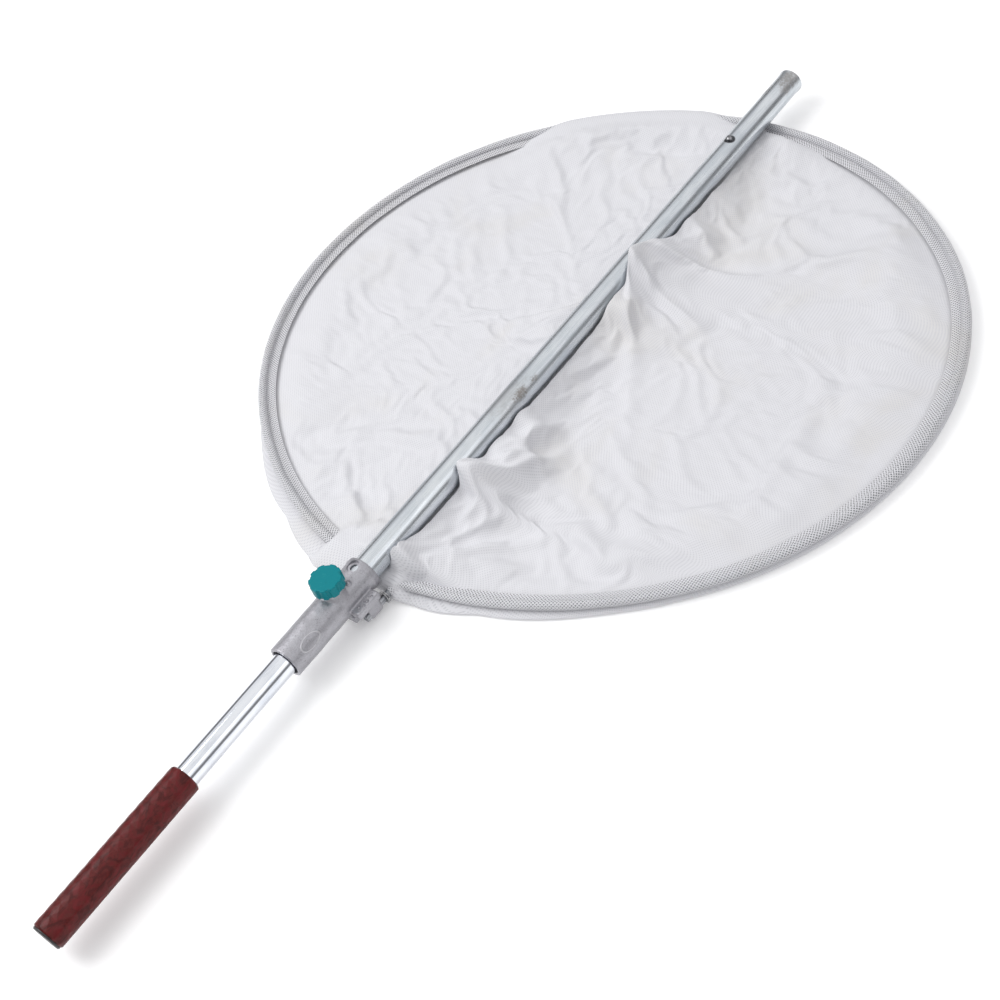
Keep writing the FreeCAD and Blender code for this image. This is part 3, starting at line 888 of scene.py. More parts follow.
@dataclass
class HeadCasting:
    """Cast sleeve with a boss for the clamp screw and two lugs for the hoop."""

    voxel: float = 0.8 * MM
    sleeve_radius: float = 18.95
    bore_radius: float = 15.4
    boss_radius: float = 11.6
    boss_top: float = 24.6
    disc_x: float = 446.0
    recess: float = 7.4
    lug_start: float = 409.0
    lug_end: float = 442.0
    lug_top: float = -0.5
    pits: tuple[tuple[float, float, float], ...] = (
        (414, -27.5, 1.5), (417, -24.5, 1.9), (421, -28, 1.7), (424, -24, 1.4),
        (427, -27, 2.1), (431, -25, 1.5), (434, -27.5, 1.8), (437, -25, 1.4),
        (420, -22.5, 1.2), (429, -22.2, 1.3),
        (415, 25, 1.8), (421, 27, 2.0), (427, 24, 1.6), (434, 26, 1.9),
    )

    def build(self) -> None:
        """Model the casting over the frame's plain one."""
        body = self.rough_shape()
        add_modifier(body, "REMESH", mode="VOXEL", voxel_size=self.voxel)
        add_modifier(body, "SMOOTH", factor=0.5, iterations=5)
        self.roughen(body)
        for cutter in self.cutters():
            carve(body, cutter)
        soften(body, 40)
        finish_piece(body, "head", CastAluminium().make(),
                     ["head_casting"])

    def rough_shape(self) -> bpy.types.Object:
        """Join the solids that the casting is made of."""
        low, high = stations.head_low.x, stations.head_high.x
        start = (low - stations.butt) / MM
        end = (high - stations.butt) / MM
        boss_x = (stations.clamp_x - stations.butt) / MM
        lug_middle = (self.lug_start + self.lug_end) / 2
        lug_length = (self.lug_end - self.lug_start) * MM
        parts = [
            cylinder("sleeve", stations.at((start + end) / 2, 0, 0), self.sleeve_radius * MM,
                     high - low, "X", 96),
            cylinder("boss", stations.at(boss_x, 0, self.boss_top / 2 + 5),
                     self.boss_radius * MM, (self.boss_top - 10) * MM, "Z", 64),
            block("web", stations.at(lug_middle, 0, -16.5), (lug_length, 0.040, 0.009)),
        ]
        foot = self.cone("boss_foot", stations.at(boss_x, 0, 15.5), 0.0165, 0.0118, 0.009)
        parts.append(foot)
        for side in (1, -1):
            lug = block("lug", stations.at(lug_middle, side * 24.6, self.lug_top - 5.0),
                        (lug_length, 0.0125, 0.010), (side * 0.06, 0, 0))
            add_modifier(lug, "BEVEL", width=2.2 * MM, segments=3)
            root = block("lug_root", stations.at(lug_middle + 6, side * 22.9, -18.5),
                         (lug_length - 15 * MM, 0.0106, 0.018), (side * 0.04, 0, 0))
            add_modifier(root, "BEVEL", width=2.6 * MM, segments=3)
            rib = block("rib", stations.at(lug_middle + 4, side * 16.5, -12.0),
                        (lug_length * 0.7, 0.012, 0.010), (side * -0.5, 0, 0))
            parts += [lug, root, rib]
        collar = self.cone("collar", stations.at(end - 4.0, 0, 0), 0.0199, 0.0192, 0.0075, "X")
        parts.append(collar)
        bump = self.ball("rivet_bump", stations.at(boss_x + 15.5, -8.0, 16.8), 3.0 * MM)
        parts.append(bump)
        return join(parts, "head_casting_skin")

    def cone(self, name: str, centre: Vector, wide: float, narrow: float, height: float,
             axis: str = "Z") -> bpy.types.Object:
        """Add a truncated cone in row coordinates."""
        return add_solid(name, bpy.ops.mesh.primitive_cone_add, vertices=72, radius1=wide,
                         radius2=narrow, depth=height, location=centre,
                         rotation=AXIS_TURNS[axis])

    def ball(self, name: str, centre: Vector, radius: float) -> bpy.types.Object:
        """Add a small ball in row coordinates."""
        return add_solid(name, bpy.ops.mesh.primitive_ico_sphere_add, subdivisions=3,
                         radius=radius, location=centre)

    def roughen(self, body: bpy.types.Object) -> None:
        """Give the skin the low waves and pimples of a sand mould."""
        moved = []
        for vertex in body.data.vertices:
            place = vertex.co
            waves = noise.noise(place * 90.0) * 0.22 + noise.noise(place * 420.0) * 0.10
            moved.extend(place + vertex.normal * waves * MM)
        body.data.vertices.foreach_set("co", moved)
        body.data.update()

    def cutters(self) -> list[bpy.types.Object]:
        """Return the bores, holes and pits as solids to cut away."""
        boss_x = (stations.clamp_x - stations.butt) / MM
        middle = (stations.head_low.x + stations.head_high.x) / 2
        button_low, button_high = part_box("snap_button")
        travel = next(j for j in frame["joints"] if j["name"] == "head_slide")["range_m"][1]
        catch_x = (button_low.x + button_high.x) / 2 - travel
        bore_centre = Vector((middle, 0, stations.axis_height))
        shapes = [
            cylinder("bore", bore_centre, self.bore_radius * MM, 0.2, "X", 96),
            cylinder("catch", Vector((catch_x, 0, stations.axis_height + 0.02)), 4.4 * MM,
                     0.03, "Z", 48),
            cylinder("seat", stations.at(boss_x, 0, 27), 6.55 * MM, 0.02, "Z", 48),
            cylinder("hole", stations.at(boss_x, 0, 15), 4.1 * MM, 0.01, "Z", 40),
        ]
        for side in (1, -1):
            shapes.append(cylinder("socket", stations.at(438, side * 24.0, -22.0), 4.1 * MM,
                                   0.040, "X", 40))
        shapes.append(cylinder("recess", stations.at(self.disc_x, 0, 21.4), self.recess * MM,
                               10.0 * MM, "Z", 64))
        for along, left, radius in self.pits:
            shapes.append(self.ball("pit", stations.at(along, left, self.lug_top + 0.5),
                                    radius * MM))
        return shapes


# ------------------------------------------------------------------------------ the net


def on_bias(along: object, across: object) -> tuple[object, object]:
    """Turn flat cloth places by 45 degrees, because the mesh is cut on the bias."""
    half = math.sqrt(0.5)
    return half * (along + across), half * (across - along)


class Rim:
    """The hoop's route and the net's outline, read from the frame's own shapes."""

    def __init__(self) -> None:
        """Read the floor panel's edge and the rod's top line."""
        low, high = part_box("net_floor_panel")
        self.centre = Vector(((low.x + high.x) / 2, 0, 0))
        edge = self.line_of("net_floor_panel", low.z - 0.1 * MM, low.z + 0.1 * MM)
        turns = np.arctan2(edge[:, 1], edge[:, 0] - self.centre.x)
        order = np.argsort(turns)
        self.turns = turns[order]
        self.radii = np.hypot(edge[:, 0] - self.centre.x, edge[:, 1])[order]
        top = stations.hoop_high.z
        rod = self.line_of("hoop_rod", top - 0.05 * MM, top + 0.1 * MM)
        rod = rod[rod[:, 0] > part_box("hem_sleeve")[0].x - 1 * MM]
        sweep = np.mod(np.arctan2(rod[:, 1], rod[:, 0] - self.centre.x), math.tau)
        self.rod = self.even(rod[np.argsort(np.mod(sweep - math.pi, math.tau))])

    def line_of(self, node: str, low: float, high: float) -> np.ndarray:
        """Return the plan places of a node's corners between two heights."""
        mesh = frame["nodes"][node].data
        places = np.array([vertex.co[:] for vertex in mesh.vertices])
        chosen = places[(places[:, 2] > low) & (places[:, 2] < high)]
        return np.unique(np.round(chosen[:, :2], 5), axis=0)

    def even(self, line: np.ndarray, count: int = 720) -> np.ndarray:
        """Return a line's points again, evenly spaced and lightly smoothed."""
        steps = np.hypot(*np.diff(line, axis=0).T)
        keep = np.concatenate([[True], steps > 0.2 * MM])
        line = line[keep]
        walk = walk_along(line)
        even = np.linspace(0, walk[-1], count)
        points = np.stack([np.interp(even, walk, line[:, axis]) for axis in (0, 1)], axis=1)
        for _ in range(6):
            points[1:-1] = (points[:-2] + 2 * points[1:-1] + points[2:]) / 4
        return points

    def radius(self, turn: np.ndarray) -> np.ndarray:
        """Return the outline's distance from its middle at each turn."""
        return np.interp(turn, self.turns, self.radii, period=math.tau)

    def outward(self, turn: np.ndarray) -> np.ndarray:
        """Return the outline's outward direction at each turn."""
        step = 0.01
        ahead = self.radius(turn + step)
        behind = self.radius(turn - step)
        tangent_x = ahead * np.cos(turn + step) - behind * np.cos(turn - step)
        tangent_y = ahead * np.sin(turn + step) - behind * np.sin(turn - step)
        length = np.hypot(tangent_x, tangent_y)
        return np.stack([tangent_y / length, -tangent_x / length], axis=1)


@dataclass(frozen=True)
class Fold:
    """A place where the net climbs over the pole, in millimetres from the butt.

    It rises over the length before its middle and falls over the length after it.
    """

    along: float
    before: float
    after: float
    turn: float

    def lift(self, along: np.ndarray) -> np.ndarray:
        """Return how many degrees further round the tube the net reaches."""
        away = along - self.along
        reach = np.where(away < 0, self.before, self.after)
        return self.turn * np.exp(-np.abs(away / reach) ** 2.2)


@dataclass(frozen=True)
class Puff:
    """A place where the net stands higher: place, size along and across, height, in mm."""

    along: float
    left: float
    long: float
    wide: float
    height: float
    heading: float = 0.0


@dataclass(frozen=True)
class Crease:
    """A sharp ridge in the net, from one place to another, in mm from the butt."""

    start: tuple[float, float]
    end: tuple[float, float]
    width: float
    height: float


@dataclass
class NetBag:
    """The net: one cloth pinned to the hoop, lying on the floor and over the pole."""

    cloth_size: tuple[float, float] = (0.92, 0.96)
    cloth_area: float = 0.66
    cells: int = 152
    inner: float = 0.885
    covers: tuple[tuple[float, float, float], ...] = ((26, 20, 16), (176.5, 9.0, 4))
    spare: float = 0.05
    settle_steps: int = 22
    most_move: float = 22 * MM
    under_pole: float = 16.4
    tube_gap: float = 15.9
    floor_gap: float = 0.7 * MM
    sleeve_gap: float = 1.2 * MM
    sleeve_side: float = 21 * MM
    lug_end: float = 445.0
    lug_side: float = 33 * MM
    rim_gap: float = 16 * MM
    floor: float = -30.0
    crest_angle: float = 113.0
    crest_range: tuple[float, float] = (2.0, 170.0)
    slip: float = 40.0
    slip_start: float = 1090.0
    slip_run: float = 60.0
    ripple: float = 9.0
    least_width: float = 8.0
    even_share: float = 0.62
    flat_rim: float = 0.10
    skirt_cloth: float = 40 * MM
    skirt_stops: tuple[float, ...] = (0.0, 0.25, 0.5, 0.75, 0.88, 1.0)
    spills: tuple[tuple[float, float, float], ...] = (
        (166, 13, 24), (152, 14, 15), (190, 8, 12), (203, 12, 6), (222, 14, 1),
    )
    folds: tuple[Fold, ...] = (
        Fold(486, 12, 18, 34),
        Fold(602, 9, 26, 76),
        Fold(650, 16, 26, 22),
        Fold(700, 14, 14, 26),
        Fold(880, 26, 40, 46),
        Fold(945, 34, 46, 104),
        Fold(1030, 18, 26, 20),
    )
    puffs: tuple[Puff, ...] = (
        Puff(1190, 170, 75, 140, 16, 0.35),
        Puff(1080, 120, 60, 60, 6, 0.4),
        Puff(950, -110, 60, 70, 16, 0.2),
        Puff(850, -90, 60, 50, 12, -0.5),
        Puff(640, -70, 60, 45, 12, -0.3),
        Puff(560, -90, 60, 60, 9, -0.8),
        Puff(760, 120, 160, 70, 7, 0.2),
        Puff(600, 110, 80, 70, 8, 0.5),
        Puff(1060, -240, 120, 60, 9, -0.6),
        Puff(780, -260, 160, 50, 6, -0.1),
    )
    creases: tuple[Crease, ...] = (
        Crease((480, -24), (700, -250), 7, 5),
        Crease((485, -24), (640, -300), 6, 4),
        Crease((500, -28), (800, -210), 8, 6),
        Crease((520, -30), (860, -150), 9, 7),
        Crease((560, -26), (720, -110), 7, 6),
        Crease((632, -24), (820, -120), 9, 7),
        Crease((632, -24), (700, -150), 8, 7),
        Crease((700, -22), (840, -80), 7, 5),
        Crease((930, -28), (760, -120), 8, 9),
        Crease((945, -30), (880, -190), 9, 8),
        Crease((975, -30), (1010, -220), 12, 7),
        Crease((1000, -26), (1130, -160), 11, 7),
        Crease((470, 26), (640, 230), 8, 5),
        Crease((480, 26), (760, 180), 9, 5),
        Crease((470, 24), (560, 250), 7, 4),
        Crease((900, 24), (760, 200), 11, 4),
        Crease((1120, 30), (980, 260), 14, 6),
        Crease((1160, 60), (1060, 330), 12, 6),
        Crease((620, -330), (900, -340), 12, 4),
        Crease((700, -300), (1010, -280), 12, 4),
    )

    def build(self, rim: Rim, hem: bpy.types.Object, seam: bpy.types.Object) -> None:
        """Args:
            rim: the hoop's outline.
            hem: the sewn tube round the rod; not used.
            seam: the doubled band inside it; not used.
        """
        deselect()
        bpy.ops.mesh.primitive_grid_add(x_subdivisions=self.cells, y_subdivisions=self.cells,
                                        size=2.0)
        net = bpy.context.object
        net.name = "net_bag"
        grid = np.array([vertex.co[:2] for vertex in net.data.vertices])
        places, flat = self.lay(grid, rim)
        self.write_uv(net, flat)
        write_places(net, places)
        self.settle_cloth(net, grid, places)
        self.keep_clear(net)
        add_modifier(net, "SUBSURF", levels=1, render_levels=1)
        self.keep_clear(net)
        soften(net, 180)
        finish_piece(net, "head", NetCloth().make(),
                     ["net_side_band", "net_floor_panel"])
        area = sum(face.area for face in net.data.polygons)
        log.info("net area %.3f m2", area)

    def settle_cloth(self, net: bpy.types.Object, grid: np.ndarray,
                     places: np.ndarray) -> None:
        """Let the net wrinkle under its own weight, held at the hoop and the pole.

        Args:
            net: the laid net.
            grid: the grid's corners, from -1 to 1 each way.
            places: the corners' places before settling.
        """
        reach = np.abs(grid).max(axis=1)
        away = np.hypot(places[:, 1], places[:, 2] - stations.axis_height)
        hold = np.clip((reach - self.inner + 0.05) / 0.04, 0, 1)
        hold = np.maximum(hold, 0.85 * np.clip((26 * MM - away) / (6 * MM), 0, 1))
        group = net.vertex_groups.new(name="held")
        for index, weight in enumerate(hold):
            if weight > 0:
                group.add([index], float(weight), "REPLACE")
        helpers = [self.collider(cylinder("tube_helper", stations.at(880, 0, 0), 15.2 * MM,
                                          0.9, "X", 48)),
                   self.collider(block("floor_helper", Vector((0.2, 0, -20 * MM)),
                                       (1.2, 1.2, 0.04)))]
        cloth = net.modifiers.new("Cloth", "CLOTH")
        self.tune(cloth)
        scene = bpy.context.scene
        for step in range(1, self.settle_steps + 1):
            scene.frame_set(step)
        pick(net)
        bpy.ops.object.modifier_apply(modifier=cloth.name)
        scene.frame_set(1)
        net.vertex_groups.clear()
        for helper in helpers:
            bpy.data.objects.remove(helper, do_unlink=True)
        self.limit_moves(net, places)

    def collider(self, piece: bpy.types.Object) -> bpy.types.Object:
        """Make a helper that the cloth can't pass."""
        piece.modifiers.new("Collision", "COLLISION")
        piece.collision.thickness_outer = 0.6 * MM
        piece.collision.cloth_friction = 30
        return piece

    def tune(self, cloth: bpy.types.Modifier) -> None:
        """Set the cloth's weight, stiffness, spare length and contacts."""
        settings = cloth.settings
        settings.quality = 6
        settings.mass = 0.02
        settings.air_damping = 3
        settings.tension_stiffness = 8
        settings.compression_stiffness = 8
        settings.shear_stiffness = 3
        settings.bending_stiffness = 0.02
        settings.tension_damping = 4
        settings.compression_damping = 4
        settings.vertex_group_mass = "held"
        settings.pin_stiffness = 1
        settings.shrink_min = -self.spare
        settings.effector_weights.gravity = 0.5
        cloth.collision_settings.collision_quality = 2
        cloth.collision_settings.distance_min = 0.8 * MM
        cloth.collision_settings.use_self_collision = False
        cloth.point_cache.frame_start = 1
        cloth.point_cache.frame_end = self.settle_steps

    def limit_moves(self, net: bpy.types.Object, places: np.ndarray) -> None:
        """Cap how far each corner moved from where it was laid."""
        step = read_places(net) - places
        length = np.linalg.norm(step, axis=1)
        keep = np.minimum(1.0, self.most_move / np.maximum(length, 1e-9))
        log.info("cloth moved up to %.1f mm, mean %.1f mm", length.max() / MM,
                 length.mean() / MM)
        write_places(net, places + step * keep[:, None])

    def keep_clear(self, net: bpy.types.Object) -> None:
        """Push the net out of the floor, the tube and the casting."""
        places = read_places(net)
        places[:, 2] = np.maximum(places[:, 2], self.floor_gap)
        side = np.abs(places[:, 1])
        lug_end = stations.at(self.lug_end, 0, 0).x
        sleeve_end = stations.head_high.x + self.sleeve_gap
        nearest = np.where(side < self.sleeve_side, sleeve_end,
                           np.where(side < self.lug_side, lug_end, -math.inf))
        places[:, 0] = np.maximum(places[:, 0], nearest)
        up = places[:, 2] - stations.axis_height
        away = np.hypot(places[:, 1], up)
        push = np.maximum(1.0, self.tube_gap * MM / np.maximum(away, 1e-6))
        places[:, 1] *= push
        places[:, 2] = stations.axis_height + up * push
        write_places(net, places)

    def write_uv(self, net: bpy.types.Object, flat: np.ndarray) -> None:
        """Store the flat cloth's places, turned to the weave, as the UV map."""
        layer = net.data.uv_layers.active or net.data.uv_layers.new(name="cloth")
        bias = np.stack(on_bias(flat[:, 0], flat[:, 1]), axis=1)
        corners = np.array([loop.vertex_index for loop in net.data.loops])
        layer.data.foreach_set("uv", bias[corners].ravel())

    def lay(self, grid: np.ndarray, rim: Rim) -> tuple[np.ndarray, np.ndarray]:
        """Lay the flat grid into the hoop.

        Args:
            grid: the grid's corners, from -1 to 1 each way.
            rim: the hoop's outline.

        Returns:
            The places in metres and the flat cloth's coordinates in metres.
        """
        u, v = grid[:, 0], grid[:, 1]
        v = np.sign(v) * (self.even_share * np.abs(v) + (1 - self.even_share) * np.abs(v) ** 3)
        wide = np.abs(u) >= np.abs(v)
        reach = np.where(wide, np.abs(u), np.abs(v))
        safe_u = np.where(np.abs(u) < 1e-9, 1e-9, u)
        safe_v = np.where(np.abs(v) < 1e-9, 1e-9, v)
        turn = np.where(wide, math.pi / 4 * v / safe_u + np.where(u < 0, math.pi, 0.0),
                        np.sign(v) * math.pi / 2 - math.pi / 4 * u / safe_v)
        radius = rim.radius(turn)
        inward = np.minimum(reach / self.inner, 1.0)
        plan_x = rim.centre.x + inward * (radius - self.rim_gap) * np.cos(turn)
        plan_y = inward * (radius - self.rim_gap) * np.sin(turn)
        along = (plan_x - stations.butt) / MM
        left = plan_y / MM
        height = self.relief(along, left)
        width = np.maximum(self.edge_width(along, rim), self.least_width)
        across, up, walked = self.cross(along, left, width)
        near_edge = ease(np.clip((1 - inward) / self.flat_rim, 0, 1))
        up = up + height * near_edge * self.clear_of_pole(left)
        up = up + self.far_puff(turn, inward)
        places = np.stack([along * MM + stations.butt, across * MM,
                           up * MM + stations.axis_height], axis=1)
        flat = np.stack([plan_x, walked * MM], axis=1)
        self.skirt(places, flat, reach, turn, rim)
        return places, flat

    def edge_width(self, along: np.ndarray, rim: Rim) -> np.ndarray:
        """Return how far the laid net reaches sideways at each station, in mm."""
        turns = np.linspace(0, math.pi, 361)
        radii = rim.radius(turns) - self.rim_gap
        xs = (rim.centre.x + radii * np.cos(turns) - stations.butt) / MM
        ys = radii * np.sin(turns) / MM
        return np.interp(along, xs[::-1], ys[::-1])

    def crest(self, along: np.ndarray) -> np.ndarray:
        """Return how far round the tube the net's edge of the fold lies, in degrees.

        The angle is measured from the tube's top towards its right side.
        """
        angle = np.full_like(along, self.crest_angle)
        lift = np.zeros_like(along)
        for fold in self.folds:
            lift = np.hypot(lift, fold.lift(along))
        angle -= lift
        angle += self.slip * np.clip((along - self.slip_start) / self.slip_run, 0, 1)
        ripple = np.array([noise.noise(Vector((value * 0.03, 1.7, 0))) for value in along])
        return np.clip(angle + self.ripple * ripple, *self.crest_range)

    def cross(self, along: np.ndarray, left: np.ndarray,
              width: np.ndarray) -> tuple[np.ndarray, np.ndarray, np.ndarray]:
        """Follow the net across the pole.

        Args:
            along: stations from the butt in mm.
            left: the flat grid's distance to the left in mm.
            width: the half width at each station in mm.

        Returns:
            The sideways place, the height over the axis, and the flat distance, in mm.
        """
        floor = self.floor
        across = np.array(left, dtype=float)
        up = np.full_like(across, floor)
        walked = np.array(left, dtype=float)
        near = ease(np.clip(1 - (left - 6) / 60, 0, 1))
        up = np.where(left >= 0, floor + near * (-self.under_pole - floor), up)
        crests = self.crest(along)
        for index in np.nonzero(left < 0)[0]:
            profile = self.profile(crests[index], width[index], floor)
            share = -left[index] / width[index]
            walk = profile[2][-1] * min(share, 1.0)
            across[index] = np.interp(walk, profile[2], profile[0])
            up[index] = np.interp(walk, profile[2], profile[1])
            walked[index] = -walk
        return across, up, walked

    def profile(self, crest: float, width: float,
                floor: float) -> tuple[np.ndarray, np.ndarray, np.ndarray]:
        """Return the right half of one cross-section, with its running length."""
        points = []
        for step in np.linspace(180, crest, 14):
            angle = math.radians(step)
            points.append((-self.under_pole * math.sin(angle),
                           self.under_pole * math.cos(angle)))
        leave = max(crest, 66.0)
        lift = (112 - crest) / 130
        roll = self.under_pole + 1.6 + 1.2 * max(lift, 0)
        for step in np.linspace(crest - 6, leave, 8):
            angle = math.radians(step)
            points.append((-roll * math.sin(angle), roll * math.cos(angle)))
        if width > 60:
            points.append((-36.0 - 8 * max(lift, 0), floor + 19 + 14 * max(lift, 0)))
            points.append((-62.0, floor + 11 + 9 * max(lift, 0)))
            points.append((-100.0, floor + 4 + 4 * max(lift, 0)))
        points.append((-max(width, 30.0), floor))
        line = np.array(points)
        line = self.rounded(line)
        return line[:, 0], line[:, 1], walk_along(line)

    def rounded(self, line: np.ndarray) -> np.ndarray:
        """Cut a line's corners twice, keeping its ends."""
        for _ in range(2):
            quarter = line[:-1] * 0.75 + line[1:] * 0.25
            three = line[:-1] * 0.25 + line[1:] * 0.75
            middle = np.empty((2 * len(quarter), 2))
            middle[0::2] = quarter
            middle[1::2] = three
            line = np.concatenate([line[:1], middle, line[-1:]])
        return line

    def relief(self, along: np.ndarray, left: np.ndarray) -> np.ndarray:
        """Return the height of puffs, creases and soft waves over the floor, in mm."""
        height = np.zeros_like(along)
        for puff in self.puffs:
            turn_cos, turn_sin = math.cos(puff.heading), math.sin(puff.heading)
            dx, dy = along - puff.along, left - puff.left
            a = (dx * turn_cos + dy * turn_sin) / puff.long
            b = (dy * turn_cos - dx * turn_sin) / puff.wide
            height += puff.height * np.exp(-(a * a + b * b))
        for crease in self.creases:
            height += self.ridge(along, left, crease)
        for index in range(len(along)):
            place = Vector((along[index], left[index], 0))
            wave = noise.noise(place * 0.008)
            bend = Vector((noise.noise(place * 0.012),
                           noise.noise(place * 0.012 + Vector((9, 9, 9))), 0))
            fine = 1 - abs(noise.noise(place * 0.016 + bend * 1.2)) * 2.6
            thin = 1 - abs(noise.noise(place * 0.034 + bend * 1.8 + Vector((5, 0, 0)))) * 2.8
            height[index] += 3.0 + 5 * wave + 3.0 * max(fine, 0) ** 2 + 1.2 * max(thin, 0) ** 2
        return np.maximum(height, -2.0)

    def ridge(self, along: np.ndarray, left: np.ndarray, crease: Crease) -> np.ndarray:
        """Return one crease's height: sharp at its start and fading to its end."""
        start, end = np.array(crease.start), np.array(crease.end)
        run = end - start
        share = ((along - start[0]) * run[0] + (left - start[1]) * run[1]) / (run @ run)
        near = np.clip(share, 0, 1)
        off = np.hypot(along - start[0] - near * run[0], left - start[1] - near * run[1])
        width = crease.width * (0.5 + 1.4 * near)
        fade = np.where(share < 0, np.exp(-(share * 6) ** 2), 1 - near ** 2)
        return crease.height * fade * np.exp(-np.abs(off / width) ** 1.5)

    def clear_of_pole(self, left: np.ndarray) -> np.ndarray:
        """Return how much relief is allowed: none where the net touches the tube."""
        return ease(np.clip((np.abs(left) - 26) / 30, 0, 1))

    def cover(self, turn: np.ndarray) -> np.ndarray:
        """Return where the net lies over the hoop, from 0 to 1."""
        degrees = np.mod(np.degrees(turn) + 90, 360) - 90
        over = np.zeros_like(degrees)
        for middle, half, fade in self.covers:
            inside = np.clip((half - np.abs(degrees - middle)) / fade + 0.5, 0, 1)
            over = np.maximum(over, ease(inside))
        return over

    def far_puff(self, turn: np.ndarray, inward: np.ndarray) -> np.ndarray:
        """Return the lift that lets the net stand over the hoop, in mm."""
        return 15 * self.cover(turn) * np.clip((inward - 0.80) / 0.20, 0, 1) ** 1.5

    def bulge(self, turn: np.ndarray) -> np.ndarray:
        """Return how far the net spills out under the hoop at each turn, in mm."""
        degrees = np.mod(np.degrees(turn), 360)
        spill = np.zeros_like(degrees)
        for middle, spread, reach in self.spills:
            spill = np.maximum(spill, reach * np.exp(-((degrees - middle) / spread) ** 2))
        return spill

    def skirt(self, places: np.ndarray, flat: np.ndarray, reach: np.ndarray,
              turn: np.ndarray, rim: Rim) -> None:
        """Shape the outermost rings: down, out under the hoop and back up to the hem."""
        rings = np.nonzero(reach > self.inner)[0]
        share = (reach[rings] - self.inner) / (1 - self.inner)
        angle = turn[rings]
        normal = rim.outward(angle)
        radius = rim.radius(angle)
        base_x = rim.centre.x + radius * np.cos(angle)
        base_y = radius * np.sin(angle)
        spill = self.bulge(angle)
        puff = self.far_puff(angle, np.ones_like(angle))
        stops = np.array(self.skirt_stops)
        over = self.cover(angle)
        out = [
            np.full_like(spill, -16.0), -9.0 + over * 3, -2 + spill * 0.55 + over * 6,
            1.0 + spill + over * 7, 0.5 + spill * 0.6 + over * 3, np.full_like(spill, -5.0),
        ]
        up = [
            5.0 + puff, 3.2 + over * 18, 2.0 + over * 15.5, 2.6 + over * 3.5,
            5.0 - over * 2, 7.0 - over * 1.5,
        ]
        out_now = self.between(share, stops, out)
        up_now = self.between(share, stops, up)
        places[rings, 0] = base_x + normal[:, 0] * out_now * MM
        places[rings, 1] = base_y + normal[:, 1] * out_now * MM
        places[rings, 2] = up_now * MM
        flat[rings, 0] += np.cos(angle) * share * self.skirt_cloth
        flat[rings, 1] += np.sin(angle) * share * self.skirt_cloth

    def between(self, share: np.ndarray, stops: np.ndarray,
                values: list[np.ndarray]) -> np.ndarray:
        """Return a straight course from one array of stops to the next."""
        result = np.zeros_like(share)
        for index in range(len(stops) - 1):
            here = (share >= stops[index]) & (share <= stops[index + 1])
            part = (share - stops[index]) / (stops[index + 1] - stops[index])
            value = values[index] * (1 - part) + values[index + 1] * part
            result = np.where(here, value, result)
        return result


